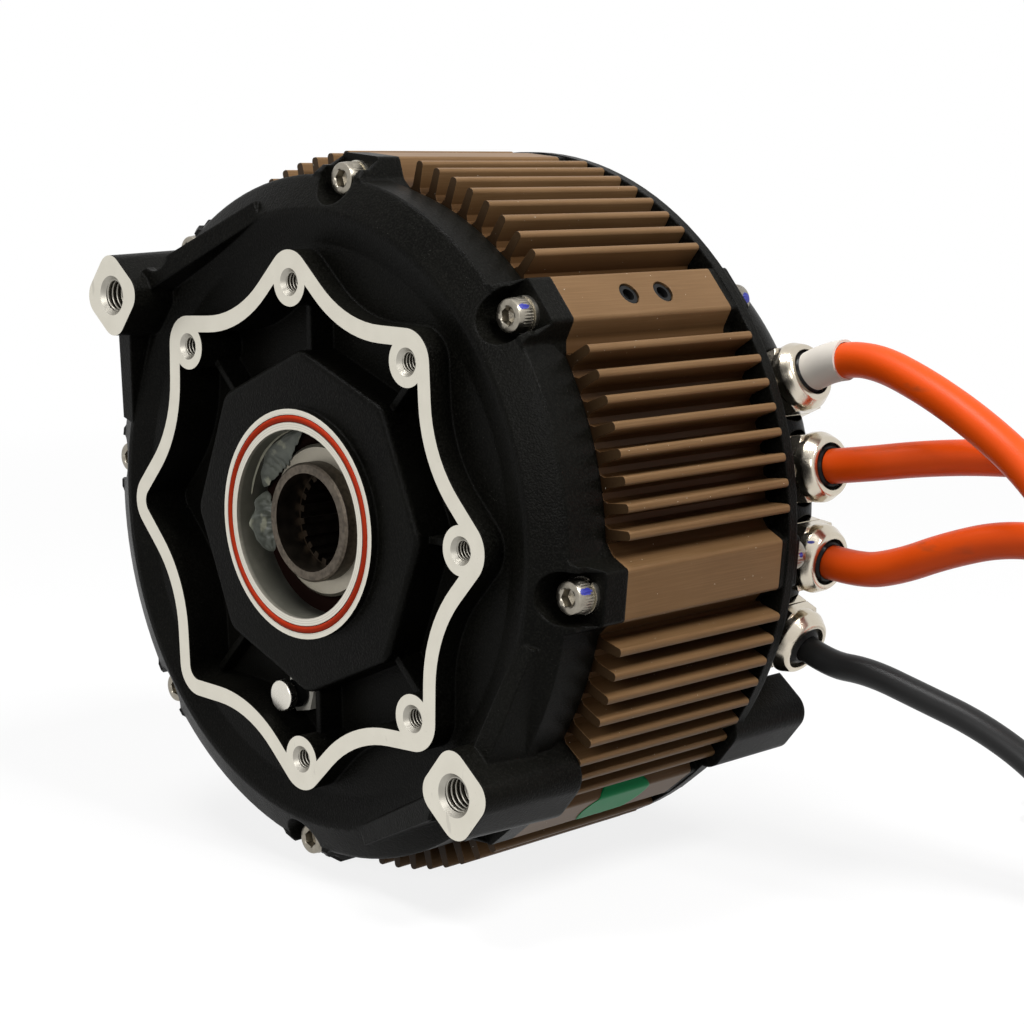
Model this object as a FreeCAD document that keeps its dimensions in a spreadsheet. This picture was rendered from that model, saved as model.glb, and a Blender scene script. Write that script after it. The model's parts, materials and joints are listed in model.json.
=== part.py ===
import FreeCAD, Part
import math
import os
import re

import Sketcher
from FreeCAD import Placement, Rotation, Vector

# Mid-mounted drive motor of an electric dirt bike, as a parametric assembly.
#
# The motor's axis is Y. The face of the star-shaped gearbox flange is the plane y = 0 and looks
# towards -Y; the origin is the centre of that flange. +Z is up and +X is the side of the cables.
# All lengths are in millimetres, and all angles are in degrees from +X towards +Z.
# A "station" is a place along the motor's axis, so it grows from the flange to the rear cover.

doc = FreeCAD.newDocument("DriveMotor")
sheet = doc.addObject("Spreadsheet::Sheet", "Sizes")

# Each driving size: its name, its value, and what it is.
SIZES = [
    ("star_pitch_radius", 62.0, "centres of the flange screws"),
    ("star_ear_radius", 8.2, "outside of the flange round a screw hole"),
    ("star_side_angle", 47.0, "slope of the flange's sides at an ear"),
    ("star_valley_curve", 34.0, "curve of the flange between two ears"),
    ("star_wall", 4.4, "thickness of the flange wall"),
    ("star_lobe_radius", 6.2, "inner lobe round a screw hole"),
    ("flange_thread_radius", 2.5, "M6 thread in the flange, at its core"),
    ("flange_thread_depth", 12.0, "depth of that thread"),
    ("flange_chamfer_radius", 3.55, "mouth of that thread"),
    ("recess_floor", 13.5, "floor of the recess inside the star"),
    ("platform_face", 2.2, "face of the eight-sided platform"),
    ("platform_radius", 45.0, "corners of the platform"),
    ("platform_corner", 6.0, "rounding of those corners"),
    ("platform_edge", 1.6, "rounding of the edge round its face"),
    ("rib_top", 6.0, "top of the ribs between platform and star"),
    ("rib_thickness", 1.8, "thickness of those ribs"),
    ("rib_inner_radius", 38.0, "inner end of those ribs, inside the platform"),
    ("rib_outer_radius", 57.0, "outer end of those ribs, inside a lobe"),
    ("low_rib_angle", 225.0, "rib at the plain tip of the flange at the lower left"),
    ("low_rib_top", 9.0, "top of that rib"),
    ("lip_radius", 29.8, "outside of the machined lip"),
    ("bore_radius", 24.5, "bore for the gearbox, through the lip"),
    ("face_ring_radius", 27.35, "middle of the sealing ring in the lip"),
    ("face_ring_section", 0.9, "half the thickness of that ring"),
    ("face_groove_depth", 1.4, "depth of its groove"),
    ("dish_floor", 6.6, "floor of the dish outside the star"),
    ("dish_radius", 72.0, "outer end of that floor"),
    ("crest_front", 4.4, "top of the ridge round the dish"),
    ("crest_inner_radius", 79.0, "inside of that ridge's top"),
    ("crest_outer_radius", 80.6, "outside of that ridge's top"),
    ("rim_front", 8.2, "front of the cover's rim"),
    ("rim_radius", 89.0, "outside of the rim"),
    ("rim_step", 0.9, "step from the sloping face to the rim"),
    ("cover_inner_face", 18.0, "inside of the front cover's wall"),
    ("cover_dish_inner_face", 12.5, "inside of that wall behind the dish"),
    ("front_joint", 23.4, "joint of the front cover and the housing"),
    ("rear_joint", 83.2, "joint of the housing and the rear cover"),
    ("valley_radius", 87.2, "housing between the fins"),
    ("housing_bore_radius", 79.0, "inside of the housing"),
    ("register_radius", 81.5, "spigots of the two covers"),
    ("register_length", 4.0, "length of those spigots"),
    ("register_inner_radius", 77.5, "inside of those spigots"),
    ("register_clearance", 0.1, "play of those spigots"),
    ("land_angle", 38.81, "first of the eight lands"),
    ("land_reach", 94.3, "flat outside of a land"),
    ("land_flat_half", 6.4, "half the width of that flat"),
    ("land_shoulder_radius", 88.9, "foot of a land's slopes"),
    ("land_shoulder_half", 8.6, "half the width there"),
    ("land_shoulder_curve", 3.0, "rounding of that foot"),
    ("land_root_radius", 86.9, "where a land ends inside the wall"),
    ("land_root_half", 11.2, "half the width there"),
    ("land_front", 8.5, "front end of a land, at the rim"),
    ("land_rear", 81.0, "rear end of a land of the housing"),
    ("screw_circle_radius", 88.2, "centres of the cover screws"),
    ("screw_radius", 2.5, "M5 cover screws"),
    ("screw_play", 0.25, "play of the screws in the covers"),
    ("screw_thread_play", 0.05, "play of the screws in the housing"),
    ("screw_head_radius", 4.25, "heads of those screws"),
    ("screw_head_height", 5.0, "height of the heads"),
    ("screw_key", 4.0, "hexagon key across flats"),
    ("screw_key_depth", 2.6, "depth of the hexagon"),
    ("screw_reach", 19.0, "length of a screw below its head"),
    ("washer_radius", 4.6, "split washers under the heads"),
    ("washer_thickness", 1.2, "thickness of those washers"),
    ("washer_split", 1.0, "width of their split"),
    ("pocket_half_width", 6.5, "pockets round the front screws"),
    ("screw_seat", 16.0, "seats of the front screws"),
    ("rear_screw_seat", 88.0, "seats of the rear screws"),
    ("fin_tip_radius", 95.0, "tips of the cooling fins"),
    ("fin_tip_half", 1.1, "half the thickness of a fin at its tip"),
    ("fin_root_half", 1.35, "half the thickness of a fin at its root"),
    ("fin_flare", 1.3, "flare of a fin at its root"),
    ("fin_first_angle", 8.675, "first fin, from the middle of a land"),
    ("fin_pitch_angle", 3.95, "from one fin to the next"),
    ("boss_circle_radius", 88.0, "axes of the mounting bosses"),
    ("boss_angle", 139.5, "first mounting boss, the second is opposite"),
    ("boss_half_diagonal", 13.15, "corners of a boss before rounding"),
    ("boss_corner", 5.4, "rounding of those corners"),
    ("boss_turn", 5.0, "turn of a boss about its own axis"),
    ("boss_draft", 2.0, "draft of a boss"),
    ("boss_front", -8.0, "front faces of the bosses"),
    ("boss_rear", 112.0, "rear faces of the bosses"),
    ("boss_thread_radius", 4.25, "M10 thread in a boss, at its core"),
    ("boss_thread_depth", 25.0, "depth of that thread"),
    ("boss_chamfer_radius", 5.4, "mouth of that thread"),
    ("web_front", -4.5, "top of a web at its boss"),
    ("web_top_half", 3.0, "half the width of a web's top"),
    ("web_root_half", 5.0, "half the width of a web's root"),
    ("long_web_angle", 25.1, "direction of the long web"),
    ("long_web_length", 53.5, "length of the long web from its boss"),
    ("short_web_angle", 71.1, "direction of the short web"),
    ("short_web_length", 38.0, "length of the short web from its boss"),
    ("plug_radius", 3.0, "threaded plugs in one land"),
    ("plug_first_station", 46.9, "first plug"),
    ("plug_second_station", 59.3, "second plug"),
    ("plug_sink", 0.4, "depth of the plugs' faces below the land"),
    ("plug_length", 4.0, "length of a plug"),
    ("plug_key", 3.0, "hexagon key of a plug"),
    ("rear_flange_radius", 94.7, "flange of the rear cover"),
    ("rear_flange_rear", 87.5, "rear face of that flange"),
    ("drum_radius", 79.5, "drum of the rear cover"),
    ("drum_rear", 122.0, "rear end of the drum"),
    ("drum_edge", 2.0, "chamfer of the drum's rear edge"),
    ("drum_inner_radius", 68.0, "inside of the drum"),
    ("drum_inner_face", 117.0, "inside of the rear wall"),
    ("gland_station", 110.0, "axes of the cable glands"),
    ("gland_first_angle", 24.17, "first cable gland"),
    ("gland_pitch_angle", 16.61, "from one gland to the next"),
    ("gland_seat_radius", 74.0, "flat seats of the glands"),
    ("gland_spot_radius", 10.3, "spot faces round those seats"),
    ("gland_thread_radius", 8.0, "M16 threads of the glands"),
    ("gland_thread_play", 0.05, "play of those threads"),
    ("gland_key", 17.8, "hexagons of a gland across flats"),
    ("gland_body_height", 5.6, "hexagon of a gland's body"),
    ("gland_nut_gap", 0.4, "gap from the body to the dome nut"),
    ("gland_nut_key_height", 3.4, "hexagon of the dome nut"),
    ("gland_length", 14.5, "from the seat to the mouth of the nut"),
    ("gland_dome_radius", 9.4, "dome of the nut"),
    ("gland_mouth_radius", 6.3, "mouth of the nut"),
    ("gland_sleeve_radius", 7.2, "clamping sleeve under the nut"),
    ("gland_sleeve_length", 10.0, "end of that sleeve, from the seat"),
    ("phase_cable_radius", 4.65, "orange phase cables"),
    ("signal_cable_radius", 3.7, "black signal cable"),
    ("cable_sleeve_wall", 0.7, "white sleeve on the first cable"),
    ("cable_sleeve_length", 11.5, "length of that sleeve"),
    ("vent_radius", 49.8, "centre of the vent plug"),
    ("vent_angle", 254.5, "angle of the vent plug"),
    ("vent_thread_radius", 4.0, "thread of the vent plug"),
    ("vent_key", 10.0, "hexagon of the vent plug"),
    ("vent_key_height", 2.5, "height of that hexagon"),
    ("vent_neck_radius", 3.5, "neck under the cap"),
    ("vent_cap_radius", 4.3, "cap of the vent plug"),
    ("vent_cap_front", 4.0, "face of the cap"),
    ("vent_cap_height", 2.4, "height of the cap"),
    ("shaft_front", 4.0, "front end of the shaft"),
    ("shaft_front_radius", 15.6, "shaft inside its seal"),
    ("shaft_bore_radius", 12.85, "pilot bore of the shaft"),
    ("spline_front", 12.0, "front end of the splines"),
    ("spline_rear", 44.0, "rear end of the splines"),
    ("spline_tip_radius", 11.2, "tips of the splines"),
    ("spline_root_radius", 12.6, "roots of the splines"),
    ("spline_space_half", 0.95, "half a space between two splines, at its root"),
    ("spline_count", 22, "number of splines"),
    ("seal_front", 10.0, "front of the shaft seal"),
    ("seal_length", 7.0, "length of the shaft seal"),
    ("seal_lip_length", 2.0, "length of its lip"),
    ("seal_sleeve_front", 8.8, "front of the seal's running sleeve"),
    ("seal_sleeve_radius", 20.0, "outside of that sleeve"),
    ("seal_play", 0.06, "running gap of the seal"),
    ("front_bearing_front", 17.5, "front face of the front bearing"),
    ("front_bearing_length", 14.0, "width of the front bearing"),
    ("front_bearing_radius", 31.0, "outside of the front bearing"),
    ("front_journal_radius", 17.5, "shaft inside the front bearing"),
    ("rear_bearing_front", 100.0, "front face of the rear bearing"),
    ("rear_bearing_length", 13.0, "width of the rear bearing"),
    ("rear_bearing_radius", 27.5, "outside of the rear bearing"),
    ("rear_journal_radius", 15.0, "shaft inside the rear bearing"),
    ("ball_share", 0.32, "radius of a ball over the height of its bearing"),
    ("ball_play", 0.08, "play of a ball in its tracks"),
    ("cage_half_width", 1.4, "half the width of a ball cage"),
    ("bearing_count", 9, "balls of a bearing"),
    ("hub_wall", 6.5, "walls round the bearings"),
    ("sensor_room_radius", 24.0, "room behind the rear bearing"),
    ("sensor_room_rear", 118.0, "rear wall of that room"),
    ("shaft_core_radius", 19.0, "shaft inside the rotor"),
    ("shaft_collar_radius", 23.0, "collar in front of the rotor"),
    ("shaft_rear_radius", 17.0, "shaft behind the rotor"),
    ("shaft_rear", 114.2, "rear end of the shaft"),
    ("core_front", 34.0, "front of the rotor core"),
    ("core_rear", 74.0, "rear of the rotor core"),
    ("core_radius", 47.0, "outside of the rotor core"),
    ("core_hole_radius", 5.5, "holes through the rotor core"),
    ("core_hole_circle", 33.0, "centres of those holes"),
    ("magnet_radius", 51.0, "outside of the magnets"),
    ("magnet_half_angle", 19.0, "half the arc of a magnet"),
    ("retaining_ring_thickness", 1.5, "ring behind the rotor core"),
    ("retaining_ring_radius", 22.5, "outside of that ring"),
    ("stator_inner_radius", 52.0, "bore of the stator"),
    ("stator_front", 33.0, "front of the stator core"),
    ("stator_rear", 75.0, "rear of the stator core"),
    ("slot_root_radius", 70.0, "bottom of the slots"),
    ("slot_neck_radius", 55.0, "inner end of the slots"),
    ("slot_root_half", 5.6, "half the width of a slot at its bottom"),
    ("slot_neck_half", 3.7, "half the width of a slot at its inner end"),
    ("slot_mouth_half", 1.2, "half the width of a slot's mouth"),
    ("slot_count", 24, "number of slots"),
    ("winding_play", 0.3, "insulation round the windings"),
    ("winding_inner_radius", 56.0, "inside of the winding heads"),
    ("winding_outer_radius", 73.0, "outside of the winding heads"),
    ("winding_front", 24.0, "front of the windings"),
    ("winding_rear", 85.0, "rear of the windings"),
    ("sensor_magnet_radius", 5.0, "sensor magnet on the shaft's end"),
    ("sensor_magnet_length", 1.8, "length of that magnet"),
    ("sensor_board_radius", 21.0, "sensor board"),
    ("sensor_board_thickness", 1.6, "thickness of that board"),
    ("floor_level", -95.1, "surface on which the free ends of the cables lie"),
    ("lug_wall", 0.6, "walls of the cable lugs' crimped barrels"),
    ("lug_barrel_length", 13.0, "length of a barrel"),
    ("lug_overlap", 8.0, "length of cable inside a barrel"),
    ("lug_ring_radius", 7.5, "ring of a lug"),
    ("lug_hole_radius", 3.2, "hole of a lug"),
    ("lug_thickness", 2.4, "thickness of a lug's tongue"),
    ("plug_body_length", 27.0, "connector of the signal cable"),
    ("plug_body_width", 15.0, "width of that connector"),
    ("plug_body_height", 7.4, "height of that connector"),
    ("plug_wall", 1.4, "wall of its open end"),
    ("plug_mouth_depth", 9.0, "depth of its open end"),
    ("joint_play", 0.1, "play between pieces that lie side by side"),
]

for row, (name, value, meaning) in enumerate(SIZES, start=1):
    sheet.set(f"A{row}", name)
    sheet.set(f"B{row}", str(value))
    sheet.set(f"C{row}", meaning)
    sheet.setAlias(f"B{row}", name)
doc.recompute()

NAMES = {name for name, value, meaning in SIZES}
parts = []


def bound(expression):
    """The expression with every size's name pointing at the sheet."""
    return re.sub(r"[a-z][a-z_]*", lambda m: f"Sizes.{m[0]}" if m[0] in NAMES else m[0], str(expression))


def measure(expression):
    """The number that an expression gives now."""
    found = sheet.evalExpression(bound(expression))
    return float(getattr(found, "Value", found))


def bind(thing, **sizes):
    """Set properties and tie them to the sheet."""
    for name, expression in sizes.items():
        bind_path(thing, name, expression)


def bind_path(thing, path, expression):
    """Set one property, or a part of one such as a placement's height, and tie it to the sheet."""
    if "." not in path:
        value = measure(expression)
        setattr(thing, path, int(value) if isinstance(getattr(thing, path), int) else value)
    if "Sizes." in bound(expression):
        thing.setExpression(path, bound(expression))


def new_body(label):
    body = doc.addObject("PartDesign::Body", label)
    body.Label = label
    body.AllowCompound = True
    parts.append(body)
    return body


def origin_part(body, role):
    return next(feature for feature in body.Origin.OriginFeatures if feature.Role == role)


def polar(radius, angle, station):
    """A point in the frame of the motor, as three expressions."""
    return (f"({radius}) * cos({angle})", station, f"({radius}) * sin({angle})")


def corner_arc(before, at, after, radius):
    """The rounding of a corner: its two ends, its centre, and whether it turns left."""
    back = (before - at).normalize()
    ahead = (after - at).normalize()
    half = back.getAngle(ahead) / 2
    reach = radius / math.tan(half)
    centre = at + (back + ahead).normalize() * (radius / math.sin(half))
    turns_left = back.cross(ahead).z < 0
    return at + back * reach, at + ahead * reach, centre, turns_left


def draw_loop(drawing, corners, rules):
    """A closed outline of straight lines, with its corners rounded where they have a radius."""
    count = len(corners)
    points = [Vector(measure(corner[0]), measure(corner[1]), 0) for corner in corners]
    roundings = [corner[2] if len(corner) > 2 else None for corner in corners]
    ends = []
    for i, point in enumerate(points):
        if roundings[i] is None:
            ends.append((point, point, None, None))
        else:
            ends.append(corner_arc(points[i - 1], point, points[(i + 1) % count], measure(roundings[i])))
    lines = [drawing.addGeometry(Part.LineSegment(ends[i][1], ends[(i + 1) % count][0]))
             for i in range(count)]
    for i, point in enumerate(points):
        before = lines[i - 1]
        after = lines[i]
        if roundings[i] is None:
            rules.append((Sketcher.Constraint("Coincident", before, 2, after, 1), None))
            held = after
        else:
            start, end, centre, turns_left = ends[i]
            first, last = (start, end) if turns_left else (end, start)
            circle = Part.Circle(centre, Vector(0, 0, 1), (start - centre).Length)
            from_angle = math.atan2(first.y - centre.y, first.x - centre.x)
            to_angle = math.atan2(last.y - centre.y, last.x - centre.x)
            if to_angle < from_angle:
                to_angle += 2 * math.pi
            arc = drawing.addGeometry(Part.ArcOfCircle(circle, from_angle, to_angle))
            near = 1 if turns_left else 2
            rules.append((Sketcher.Constraint("Tangent", before, 2, arc, near), None))
            rules.append((Sketcher.Constraint("Tangent", arc, 3 - near, after, 1), None))
            rules.append((Sketcher.Constraint("Radius", arc, circle.Radius), roundings[i]))
            held = drawing.addGeometry(Part.Point(point), True)
            rules.append((Sketcher.Constraint("PointOnObject", held, 1, before), None))
            rules.append((Sketcher.Constraint("PointOnObject", held, 1, after), None))
        rules.append((Sketcher.Constraint("DistanceX", -1, 1, held, 1, point.x), corners[i][0]))
        rules.append((Sketcher.Constraint("DistanceY", -1, 1, held, 1, point.y), corners[i][1]))


def draw_circle(drawing, loop, rules):
    x, y, radius = loop
    centre = Vector(measure(x), measure(y), 0)
    circle = drawing.addGeometry(Part.Circle(centre, Vector(0, 0, 1), measure(radius)))
    rules.append((Sketcher.Constraint("Radius", circle, measure(radius)), radius))
    if x == 0 and y == 0:
        rules.append((Sketcher.Constraint("Coincident", circle, 3, -1, 1), None))
    else:
        rules.append((Sketcher.Constraint("DistanceX", -1, 1, circle, 3, centre.x), x))
        rules.append((Sketcher.Constraint("DistanceY", -1, 1, circle, 3, centre.y), y))


def draw(body, name, loops, plane, base=(0, 0, 0), axis=(0, 0, 1), turn=0):
    """A sketch of closed loops: a list of corners is an outline, a tuple (x, y, radius) a circle."""
    drawing = body.newObject("Sketcher::SketchObject", f"{name}_sketch")
    drawing.AttachmentSupport = [(origin_part(body, plane), "")]
    drawing.MapMode = "FlatFace"
    place = Vector(*[measure(part) for part in base])
    drawing.AttachmentOffset = Placement(place, Rotation(Vector(*axis), measure(turn)))
    for letter, expression in zip("xyz", base):
        bind_path(drawing, f"AttachmentOffset.Base.{letter}", expression)
    bind_path(drawing, "AttachmentOffset.Rotation.Angle", turn)
    rules = []
    for loop in loops:
        if isinstance(loop, tuple):
            draw_circle(drawing, loop, rules)
        else:
            draw_loop(drawing, loop, rules)
    drawing.addConstraint([rule for rule, expression in rules])
    for i, (rule, expression) in enumerate(rules):
        if expression is not None:
            if "Sizes." in bound(expression):
                drawing.setExpression(f"Constraints[{i}]", bound(expression))
    return drawing


def across(body, name, loops, start, end, cut=False, turn=0, centre=(0, 0), taper=0):
    """A pad or a pocket between two stations, from loops drawn across the motor's axis."""
    base = (centre[0], centre[1], f"-({start})")
    drawing = draw(body, name, loops, "XZ_Plane", base, (0, 0, 1), turn)
    feature = body.newObject("PartDesign::Pocket" if cut else "PartDesign::Pad", name)
    feature.Profile = drawing
    feature.Reversed = not cut
    bind(feature, Length=f"({end}) - ({start})")
    if taper:
        bind(feature, TaperAngle=taper)
    return feature


def spun(body, name, loops, cut=False, axis="V_Axis", base=(0, 0, 0), turn=0):
    """A turned shape: loops of (radius, station), or (distance, radius) about the H axis."""
    drawing = draw(body, name, loops, "XY_Plane", base, (0, -1, 0), turn)
    feature = body.newObject("PartDesign::Groove" if cut else "PartDesign::Revolution", name)
    feature.Profile = drawing
    feature.ReferenceAxis = (drawing, [axis])
    feature.Angle = 360
    return feature


def drilled(body, name, place, radius, depth, mouth, inward=1):
    """A threaded blind hole along the axis, with a chamfered mouth and a drill's point."""
    corners = [(0, f"-{inward}"), (f"{mouth} + 1", f"-{inward}"),
               (radius, f"{inward} * ({mouth} - {radius})"), (radius, f"{inward} * ({depth})"),
               (0, f"{inward} * ({depth} + {radius} * 0.5)")]
    return spun(body, name, [corners], True, "V_Axis", place)


def around(body, name, features, count, angle=360):
    """Copies about the motor's axis; a part turn runs towards smaller angles."""
    pattern = body.newObject("PartDesign::PolarPattern", name)
    pattern.Originals = features
    pattern.Axis = (origin_part(body, "Y_Axis"), [""])
    bind(pattern, Angle=angle)
    bind_path(pattern, "Occurrences", count)
    body.Tip = pattern
    return pattern


def soften(body, name, radius, chosen):
    """A fillet on the edges of the body so far that a test picks."""
    doc.recompute()
    tip = body.Tip
    edges = [f"Edge{i}" for i, edge in enumerate(tip.Shape.Edges, start=1) if chosen(edge)]
    feature = body.newObject("PartDesign::Fillet", name)
    feature.Base = (tip, edges)
    bind(feature, Radius=radius)
    return feature


def hexagon(key, turn=0):
    """The corners of a hexagon, from its size across flats."""
    return [(f"({key}) / 2 / cos(30) * cos({60 * i + turn})", f"({key}) / 2 / cos(30) * sin({60 * i + turn})")
            for i in range(6)]


def box(x_from, x_to, y_from, y_to):
    return [(x_from, y_from), (x_to, y_from), (x_to, y_to), (x_from, y_to)]


def ear_reach(inset):
    """Distance of an ear's corner from the centre, for an outline this far inside the flange's."""
    return f"(star_pitch_radius + (star_ear_radius - {inset}) / sin(star_side_angle))"


def star(inset):
    """The eight-pointed outline of the gearbox flange, this far inside its own outside."""
    valley = f"({ear_reach(inset)} * sin(star_side_angle) / sin(star_side_angle + 22.5))"
    corners = []
    for i in range(8):
        ear, dip = 45 * i, 45 * i + 22.5
        corners.append((f"{ear_reach(inset)} * cos({ear})", f"{ear_reach(inset)} * sin({ear})",
                        f"star_ear_radius - {inset}"))
        corners.append((f"{valley} * cos({dip})", f"{valley} * sin({dip})", f"star_valley_curve + {inset}"))
    return corners


def octagon(radius, corner):
    return [(f"({radius}) * cos({45 * i})", f"({radius}) * sin({45 * i})", corner) for i in range(8)]


# Outline of a land that carries a cover screw, drawn about the +X direction.
LAND = [("land_root_radius", "-land_root_half"),
        ("land_shoulder_radius", "-land_shoulder_half", "land_shoulder_curve"),
        ("land_reach", "-land_flat_half", 1.2), ("land_reach", "land_flat_half", 1.2),
        ("land_shoulder_radius", "land_shoulder_half", "land_shoulder_curve"),
        ("land_root_radius", "land_root_half")]

# Outline of a mounting boss, about its own axis: a square with round corners, standing on one of them.
BOSS = [(f"boss_half_diagonal * cos({90 * i})", f"boss_half_diagonal * sin({90 * i})", "boss_corner")
        for i in range(4)]
BOSS_CENTRE = ("boss_circle_radius * cos(boss_angle)", "boss_circle_radius * sin(boss_angle)")
BOSS_AXIS = polar("boss_circle_radius", "boss_angle", "boss_front")
SCREW_AXIS = ("screw_circle_radius * cos(land_angle)", "screw_circle_radius * sin(land_angle)")
VENT = ("vent_radius * cos(vent_angle)", "vent_radius * sin(vent_angle)")


# The front cover: a cast dish with the star-shaped flange, the platform and its bore, and the bosses.
cover = new_body("front_cover")
spun(cover, "cover_wall", [[
    ("bore_radius", "dish_floor"), ("dish_radius", "dish_floor", 3),
    ("crest_inner_radius", "crest_front", 1.2), ("crest_outer_radius", "crest_front", 1.2),
    ("rim_radius - rim_step", "rim_front"), ("rim_radius", "rim_front + rim_step"),
    ("rim_radius", "cover_inner_face"), ("valley_radius", "front_joint"),
    ("register_radius", "front_joint"), ("register_radius", "front_joint + register_length"),
    ("register_inner_radius", "front_joint + register_length"),
    ("register_inner_radius", "cover_dish_inner_face", 3), ("dish_radius", "cover_dish_inner_face"),
    ("dish_radius - 2.5", "cover_inner_face"),
    ("front_bearing_radius + hub_wall + 3", "cover_inner_face"),
    ("front_bearing_radius + hub_wall", "cover_inner_face + 3"),
    ("front_bearing_radius + hub_wall", "front_bearing_front + front_bearing_length + 0.5"),
    ("front_bearing_radius", "front_bearing_front + front_bearing_length + 0.5"),
    ("front_bearing_radius", "front_bearing_front"), ("bore_radius", "front_bearing_front")]])
across(cover, "star_block", [star(0), (0, 0, "bore_radius")], 0, "dish_floor + 2")
across(cover, "recess", [star("star_wall"), octagon("platform_radius", "platform_corner")],
       0, "recess_floor", cut=True)
across(cover, "platform_top", [(0, 0, "platform_radius + 3"), (0, 0, "lip_radius")],
       0, "platform_face", cut=True)
soften(cover, "platform_rounding", "platform_edge",
       lambda edge: abs(edge.BoundBox.YMin - measure("platform_face")) < 1e-6
       and abs(edge.BoundBox.YMax - measure("platform_face")) < 1e-6
       and edge.CenterOfMass.Length > measure("lip_radius") + 3)
lobe = across(cover, "lobe", [("star_pitch_radius", 0, "star_lobe_radius")], 0, "recess_floor + 1", turn=135)
rib = across(cover, "rib", [box("rib_inner_radius", "rib_outer_radius", "-rib_thickness / 2",
                                "rib_thickness / 2")], "rib_top", "recess_floor + 1", turn=135)
around(cover, "lobes_and_ribs", [lobe, rib], 6, 225)
across(cover, "low_rib", [box("rib_inner_radius", "rib_outer_radius + 8", "-rib_thickness / 2",
                              "rib_thickness / 2")], "low_rib_top", "recess_floor + 1", turn="low_rib_angle")
land = across(cover, "land", [LAND], "land_front", "front_joint", turn="land_angle")
around(cover, "lands", [land], 8)
spun(cover, "land_slope", [[("rim_radius - 0.5", "land_front - 1"), ("rim_radius + 12", "land_front - 1"),
                            ("rim_radius + 12", "land_front + 11.5")]], True)
boss = across(cover, "boss", [BOSS], "boss_front", "front_joint", turn="boss_turn", centre=BOSS_CENTRE,
              taper="boss_draft")


def web(name, direction, length):
    """A web that runs from a boss down to the ridge round the dish."""
    sections = []
    for where, distance, front, slim in (("root", "0", "web_front", 1), ("end", length, "crest_front", 0.8)):
        half_top, half_root = f"web_top_half * {slim}", f"web_root_half * {slim}"
        base = (0, f"boss_circle_radius * sin(boss_angle) + ({distance}) * sin({direction})",
                f"boss_circle_radius * cos(boss_angle) + ({distance}) * cos({direction})")
        corners = [(front, f"-({half_top})"), ("cover_dish_inner_face", f"-({half_root})"),
                   ("cover_dish_inner_face", half_root), (front, half_top)]
        sections.append(draw(cover, f"{name}_{where}", [corners], "YZ_Plane", base, (-1, 0, 0), direction))
    loft = cover.newObject("PartDesign::AdditiveLoft", name)
    loft.Profile = sections[0]
    loft.Sections = sections[1:]
    loft.Ruled = True
    return loft


long_web = web("long_web", "long_web_angle", "long_web_length")
short_web = web("short_web", "180 + short_web_angle", "short_web_length")
around(cover, "bosses", [boss, long_web, short_web], 2)
pocket = across(cover, "screw_pocket", [[
    ("screw_circle_radius - pocket_half_width", "-pocket_half_width", "pocket_half_width * 0.98"),
    ("rim_radius + 12", "-pocket_half_width"), ("rim_radius + 12", "pocket_half_width"),
    ("screw_circle_radius - pocket_half_width", "pocket_half_width", "pocket_half_width * 0.98")]],
    0, "screw_seat", cut=True, turn="land_angle")
screw_hole = across(cover, "screw_hole", [("screw_circle_radius", 0, "screw_radius + screw_play")],
                    0, "front_joint + 5", cut=True, turn="land_angle")
around(cover, "screw_pockets", [pocket, screw_hole], 8)
boss_hole = drilled(cover, "boss_thread", BOSS_AXIS, "boss_thread_radius", "boss_thread_depth",
                    "boss_chamfer_radius")
around(cover, "boss_threads", [boss_hole], 2)
flange_hole = drilled(cover, "flange_thread", polar("star_pitch_radius", 135, 0), "flange_thread_radius",
                      "flange_thread_depth", "flange_chamfer_radius")
around(cover, "flange_threads", [flange_hole], 6, 225)
spun(cover, "face_ring_groove", [box("face_ring_radius - face_ring_section - joint_play",
                                     "face_ring_radius + face_ring_section + joint_play",
                                     -1, "face_groove_depth")], True)
across(cover, "vent_hole", [(0, 0, "vent_thread_radius + joint_play / 2")], "recess_floor - 1",
       "cover_inner_face + 1", cut=True, centre=VENT)


# The finned housing: an extruded ring with eight lands and eight fins between each two of them.
housing = new_body("finned_housing")
across(housing, "housing_ring", [(0, 0, "valley_radius"), (0, 0, "housing_bore_radius")],
       "front_joint", "rear_joint")
land = across(housing, "housing_land", [LAND], "front_joint", "land_rear", turn="land_angle")
around(housing, "housing_lands", [land], 8)
for where, start, end in (("front", "front_joint", "front_joint + register_length + joint_play"),
                          ("rear", "rear_joint - register_length - joint_play", "rear_joint")):
    across(housing, f"{where}_register", [(0, 0, "register_radius + register_clearance")], start, end,
           cut=True)
front_hole = across(housing, "front_thread", [("screw_circle_radius", 0, "screw_radius + screw_thread_play")],
                    "front_joint", "screw_seat - washer_thickness + screw_reach + 2", cut=True,
                    turn="land_angle")
rear_hole = across(housing, "rear_thread", [("screw_circle_radius", 0, "screw_radius + screw_thread_play")],
                   "rear_screw_seat + washer_thickness - screw_reach - 2", "rear_joint", cut=True,
                   turn="land_angle")
around(housing, "cover_threads", [front_hole, rear_hole], 8)
for i, station in enumerate(("plug_first_station", "plug_second_station")):
    spun(housing, f"plug_hole_{i}", [box("land_reach - plug_sink - plug_length", "land_reach + 1", 0,
                                         "plug_radius + joint_play / 2")],
         True, "H_Axis", (0, station, 0), "land_angle")
FIN = [("valley_radius - 0.7", "-(fin_root_half + fin_flare)"),
       ("valley_radius + fin_flare", "-fin_root_half"),
       ("fin_tip_radius", "-fin_tip_half", "fin_tip_half * 0.85"),
       ("fin_tip_radius", "fin_tip_half", "fin_tip_half * 0.85"),
       ("valley_radius + fin_flare", "fin_root_half"),
       ("valley_radius - 0.7", "fin_root_half + fin_flare")]
fin = across(housing, "fin", [FIN], "front_joint", "rear_joint",
             turn="land_angle + fin_first_angle + 7 * fin_pitch_angle")
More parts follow.
